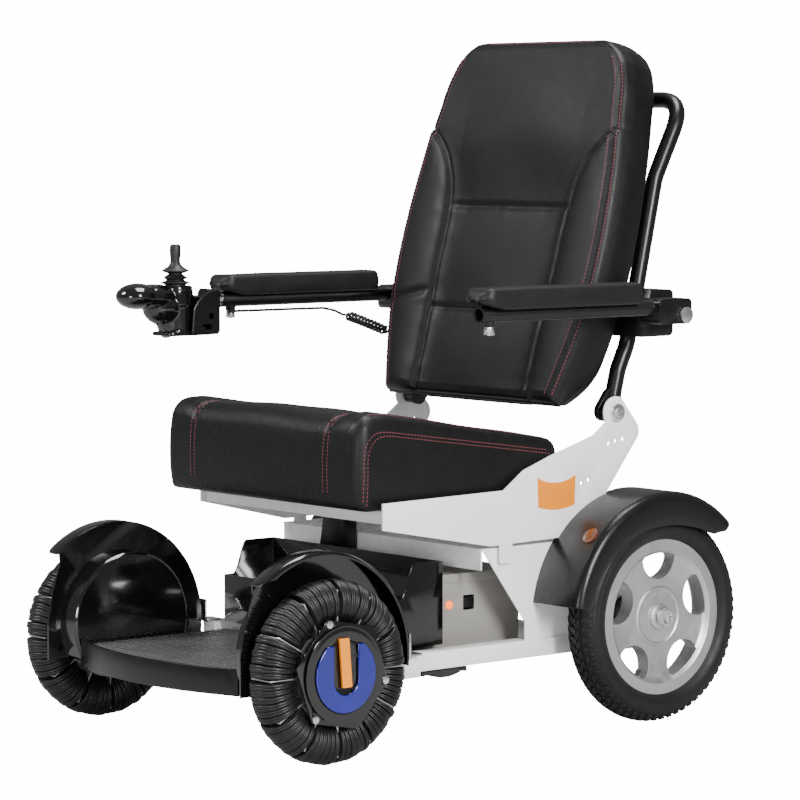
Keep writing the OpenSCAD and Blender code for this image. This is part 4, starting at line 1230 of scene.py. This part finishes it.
def make_back_frame():
    """One bent tube up both sides and over the top, two cross bars, mounts and pivot ears."""
    route = [(TUBE_X, y, z) for y, z in SIDE_ROUTE]
    route += [(-TUBE_X, y, z) for y, z in reversed(SIDE_ROUTE)]
    tube = sweep("back_tube", rounded(route, 0.052, 12), TUBE_R, MAT["tube"], 28)
    fit(tube, "back", "back_frame")
    for i, (y, z) in enumerate(CROSS_BARS):
        bar = sweep(f"back_cross_bar_{i}", [(x, y, z) for x in (-TUBE_X, 0, TUBE_X)], 0.0095,
                    MAT["tube"])
        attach(bar, "back")
        for x in (-MOUNT_X, MOUNT_X):
            mount = lathe(f"back_mount_{i}_{'right' if x < 0 else 'left'}",
                          [(0.0001, 0.0), (0.016, 0.0), (0.016, 0.003), (0.009, 0.006),
                           (0.009, y - back_face(z) - 0.002)],
                          (x, back_face(z), z), (0, 1, 0), MAT["tube"], steps=32)
            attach(mount, "back")
    _, py, pz = PIVOT
    outline = [(py + 0.015 * math.cos(a), pz + 0.015 * math.sin(a))
               for a in np.radians(np.linspace(150, 330, 16))]
    outline += [(py + 0.034, pz + 0.018), (py + 0.032, pz + 0.046), (py + 0.004, pz + 0.030)]
    pin_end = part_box("recline_pins")[1].x
    for hand, sign in (("left", 1), ("right", -1)):
        lo_x, hi_x = sorted((sign * (TUBE_X - 0.005), sign * (TUBE_X + 0.005)))
        verts, faces = slab_part(outline, 0, lo_x, hi_x)
        ear = mesh_piece(f"pivot_ear_{hand}", verts, faces, MAT["tube"], sharp=40)
        soften(ear, 0.0012)
        boss = lathe(f"pivot_boss_{hand}", BOSS_PROFILE, (sign * TUBE_X, py, pz), (sign, 0, 0),
                     MAT["tube"], steps=40)
        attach(ear, "back")
        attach(boss, "back")
        nut = lathe(f"recline_nut_{hand}", NUT_PROFILE, (sign * pin_end, py, pz), (sign, 0, 0),
                    MAT["steel"], steps=6, sharp=20)
        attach(nut, "base")


make_back_frame()

# ---- side label ----


def make_label():
    """Plain orange label, a wide shape with a drawn-in foot, on the left side plate."""
    y, z = 0.142, 0.350
    plate_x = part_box("seat_frame")[1].x
    outline = []
    for r, spread in ((0.082, 0.48), (0.122, -0.30)):
        outline += [(y + r * math.sin(a), z + 0.096 - r * math.cos(a))
                    for a in np.linspace(-spread, spread, 12)]
    verts, faces = slab_part(outline, 0, plate_x, plate_x + 0.0007)
    label = mesh_piece("side_label", verts, faces, MAT["orange"], sharp=40)
    fit(label, "base")


make_label()

# ---- controller ----

BODY_LO, BODY_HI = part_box("controller_body")
STICK = mid("joystick_lever")
TOP_Z = BODY_HI.z


def make_controller():
    """Glossy shell: a bulbous front pod that runs into an upright round body on a base plate."""
    pod_y, pod_z = STICK.y - 0.070, TOP_Z - 0.012
    rear = BODY_HI.y
    low = BODY_LO.z - 0.012
    x = STICK.x
    parts = [
        drum_part((x, STICK.y, TOP_Z - 0.030), (x, STICK.y, TOP_Z - 0.001), 0.0270, ease=0.003),
        drum_part((x, STICK.y, low + 0.004), (x, STICK.y, TOP_Z - 0.020), 0.0245, 0.0262),
        ball_part((x - 0.003, pod_y, pod_z), (0.030, 0.034, 0.0200)),
        ball_part((x - 0.002, pod_y + 0.028, pod_z - 0.002), (0.028, 0.046, 0.0200)),
        ball_part((x - 0.001, STICK.y - 0.020, TOP_Z - 0.030), (0.0255, 0.038, 0.0285)),
        drum_part((x, STICK.y - 0.030, TOP_Z - 0.030), (x, STICK.y - 0.004, low + 0.008), 0.016, 0.021),
        slab_part(round_rect(x - 0.027, STICK.y - 0.030, x + 0.0245, rear - 0.001, 0.012),
                  2, low, low + 0.006),
        slab_part(round_rect(x - 0.018, STICK.y - 0.002, x + 0.0180, rear - 0.001, 0.006),
                  2, low, TOP_Z - 0.014),
    ]
    shell = fused("controller_shell", parts, 0.0013, MAT["gloss"], smoothing=9)
    fit(shell, "controller", "controller_body")
    collar = lathe("joystick_collar", [
        (0.0235, -0.003), (0.0258, -0.002), (0.0262, 0.0008), (0.0252, 0.0030), (0.0225, 0.0040),
        (0.0195, 0.0036), (0.0190, -0.001)], (x, STICK.y, TOP_Z - 0.0015), (0, 0, 1), MAT["gloss"],
        steps=72)
    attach(collar, "controller")
    profile = [(0.0262, -0.010), (0.0273, -0.0095), (0.0273, -0.0085), (0.0262, -0.008)]
    band = lathe("controller_band", profile, (x, STICK.y, TOP_Z), (0, 0, 1), MAT["satin"], steps=72)
    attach(band, "controller")


def make_bracket():
    """Bent plate behind the controller: a face across, a curved flange and a height slot."""
    lo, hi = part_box("controller_bracket")
    low = BODY_LO.z - 0.011
    top = hi.z - 0.012
    curve = [(hi.y, low + 0.004), (hi.y - 0.004, low), (hi.y - 0.050, low), (hi.y - 0.054, low + 0.004)]
    curve += [(hi.y - 0.004 - 0.050 * math.cos(a), top - 0.046 + 0.046 * math.sin(a))
              for a in np.radians(range(20, 91, 10))]
    curve += [(hi.y, top - 0.003)]
    parts = [slab_part(round_rect(low, lo.x, top, hi.x, 0.008), 1, hi.y - 0.005, hi.y),
             slab_part(curve, 0, hi.x - 0.0045, hi.x)]
    plate = fused("controller_plate", parts, 0.0012, MAT["tube"], smoothing=2)
    outlines = (round_rect(hi.y - 0.036, low + 0.008, hi.y - 0.016, low + 0.016, 0.0038),
                round_rect(hi.y - 0.022, low + 0.024, hi.y - 0.013, low + 0.033, 0.0044))
    cut_out(plate, [slab_part(outline, 0, hi.x - 0.02, hi.x + 0.01) for outline in outlines])
    fit(plate, "controller", "controller_bracket")


def make_joystick():
    """Lever with a waisted knob, standing in a boot of three pointed folds."""
    lo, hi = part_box("joystick_lever")
    top, foot = hi.z, TOP_Z + 0.0005
    neck = foot + 0.037
    knob = lathe("joystick_knob", [
        (0.0001, top), (0.0060, top - 0.0002), (0.0078, top - 0.0014), (0.0084, top - 0.0040),
        (0.0086, top - 0.0110), (0.0083, top - 0.0170), (0.0076, top - 0.0220), (0.0074, neck - 0.001),
        (0.0040, neck - 0.004), (0.0032, lo.z + 0.001), (0.0001, lo.z)],
        (STICK.x, STICK.y, 0), (0, 0, 1), MAT["rubber"], steps=48)
    fit(knob, "stick", "joystick_lever")
    profile = [(0.0032, foot), (0.0165, foot), (0.0160, foot + 0.0035), (0.0212, foot + 0.0056),
               (0.0220, foot + 0.0066), (0.0208, foot + 0.0074), (0.0140, foot + 0.0102),
               (0.0136, foot + 0.0112), (0.0176, foot + 0.0134), (0.0184, foot + 0.0144),
               (0.0172, foot + 0.0154), (0.0110, foot + 0.0192), (0.0108, foot + 0.0204),
               (0.0200, foot + 0.0236), (0.0210, foot + 0.0248), (0.0198, foot + 0.0262),
               (0.0120, foot + 0.0308), (0.0088, foot + 0.0345), (0.0078, neck + 0.0004),
               (0.0032, neck + 0.0004)]
    boot = lathe("joystick_bellows", profile, (STICK.x, STICK.y, 0), (0, 0, 1), MAT["rubber"], steps=64)
    fit(boot, "stick", "joystick_boot")


make_bracket()
make_controller()
make_joystick()

# ---- studio ----

FLOOR_REACH = 14
SOFT_BOXES = [
    ("key", (-1.8, -3.2, 3.4), 0.5, (1.4, 1.6), 190),
    ("fill", (3.9, -0.6, 2.0), 0.5, (0.8, 2.0), 240),
    ("top", (0.2, 0.6, 3.8), 0.4, (2.0, 1.4), 150),
    ("low_front", (2.4, -4.2, 0.9), 0.5, (0.7, 0.9), 60),
]


def area_light(name, place, aim, size, power):
    """A soft box that faces a point."""
    data = bpy.data.lights.new(name, "AREA")
    data.shape = "RECTANGLE"
    data.size, data.size_y = size
    data.energy = power
    lamp = link(bpy.data.objects.new(name, data))
    lamp.location = place
    lamp.rotation_euler = (Vector(aim) - Vector(place)).to_track_quat("-Z", "Y").to_euler()


def camera_only(tree, seen, cast, target):
    """Shows one strength to the camera and lights the object with another."""
    path = tree.nodes.new("ShaderNodeLightPath")
    pick = tree.nodes.new("ShaderNodeMapRange")
    pick.inputs["To Min"].default_value = cast
    pick.inputs["To Max"].default_value = seen
    tree.links.new(path.outputs["Is Camera Ray"], pick.inputs["Value"])
    tree.links.new(pick.outputs["Result"], target)


def make_studio():
    """A white floor, even sky light and large soft boxes."""
    world = bpy.data.worlds.new("studio")
    world.use_nodes = True
    sky = world.node_tree.nodes["Background"]
    sky.inputs["Color"].default_value = (1, 1, 1, 1)
    camera_only(world.node_tree, 16.0, 0.28, sky.inputs["Strength"])
    bpy.context.scene.world = world
    pale = Shader("white_sweep", Roughness=0.55, Emission_Color=(1, 1, 1, 1))
    pale.colour(pale.ramp(pale.noise(1.5, 2), [(0.3, (0.40,) * 3), (0.7, (0.42,) * 3)]))
    camera_only(pale.tree, 15.0, 0.10, pale.surface.inputs["Emission Strength"])
    pale.bumps((pale.noise(60, 3), 0.0002, 0.1))
    corners = [(x, y, 0) for y in (-FLOOR_REACH, FLOOR_REACH) for x in (-FLOOR_REACH, 0, FLOOR_REACH)]
    floor = mesh_piece("floor", corners, grid_faces(2, 3), pale.material)
    for name, place, aim_z, size, power in SOFT_BOXES:
        area_light(name, place, (0, 0, aim_z), size, power)


make_studio()
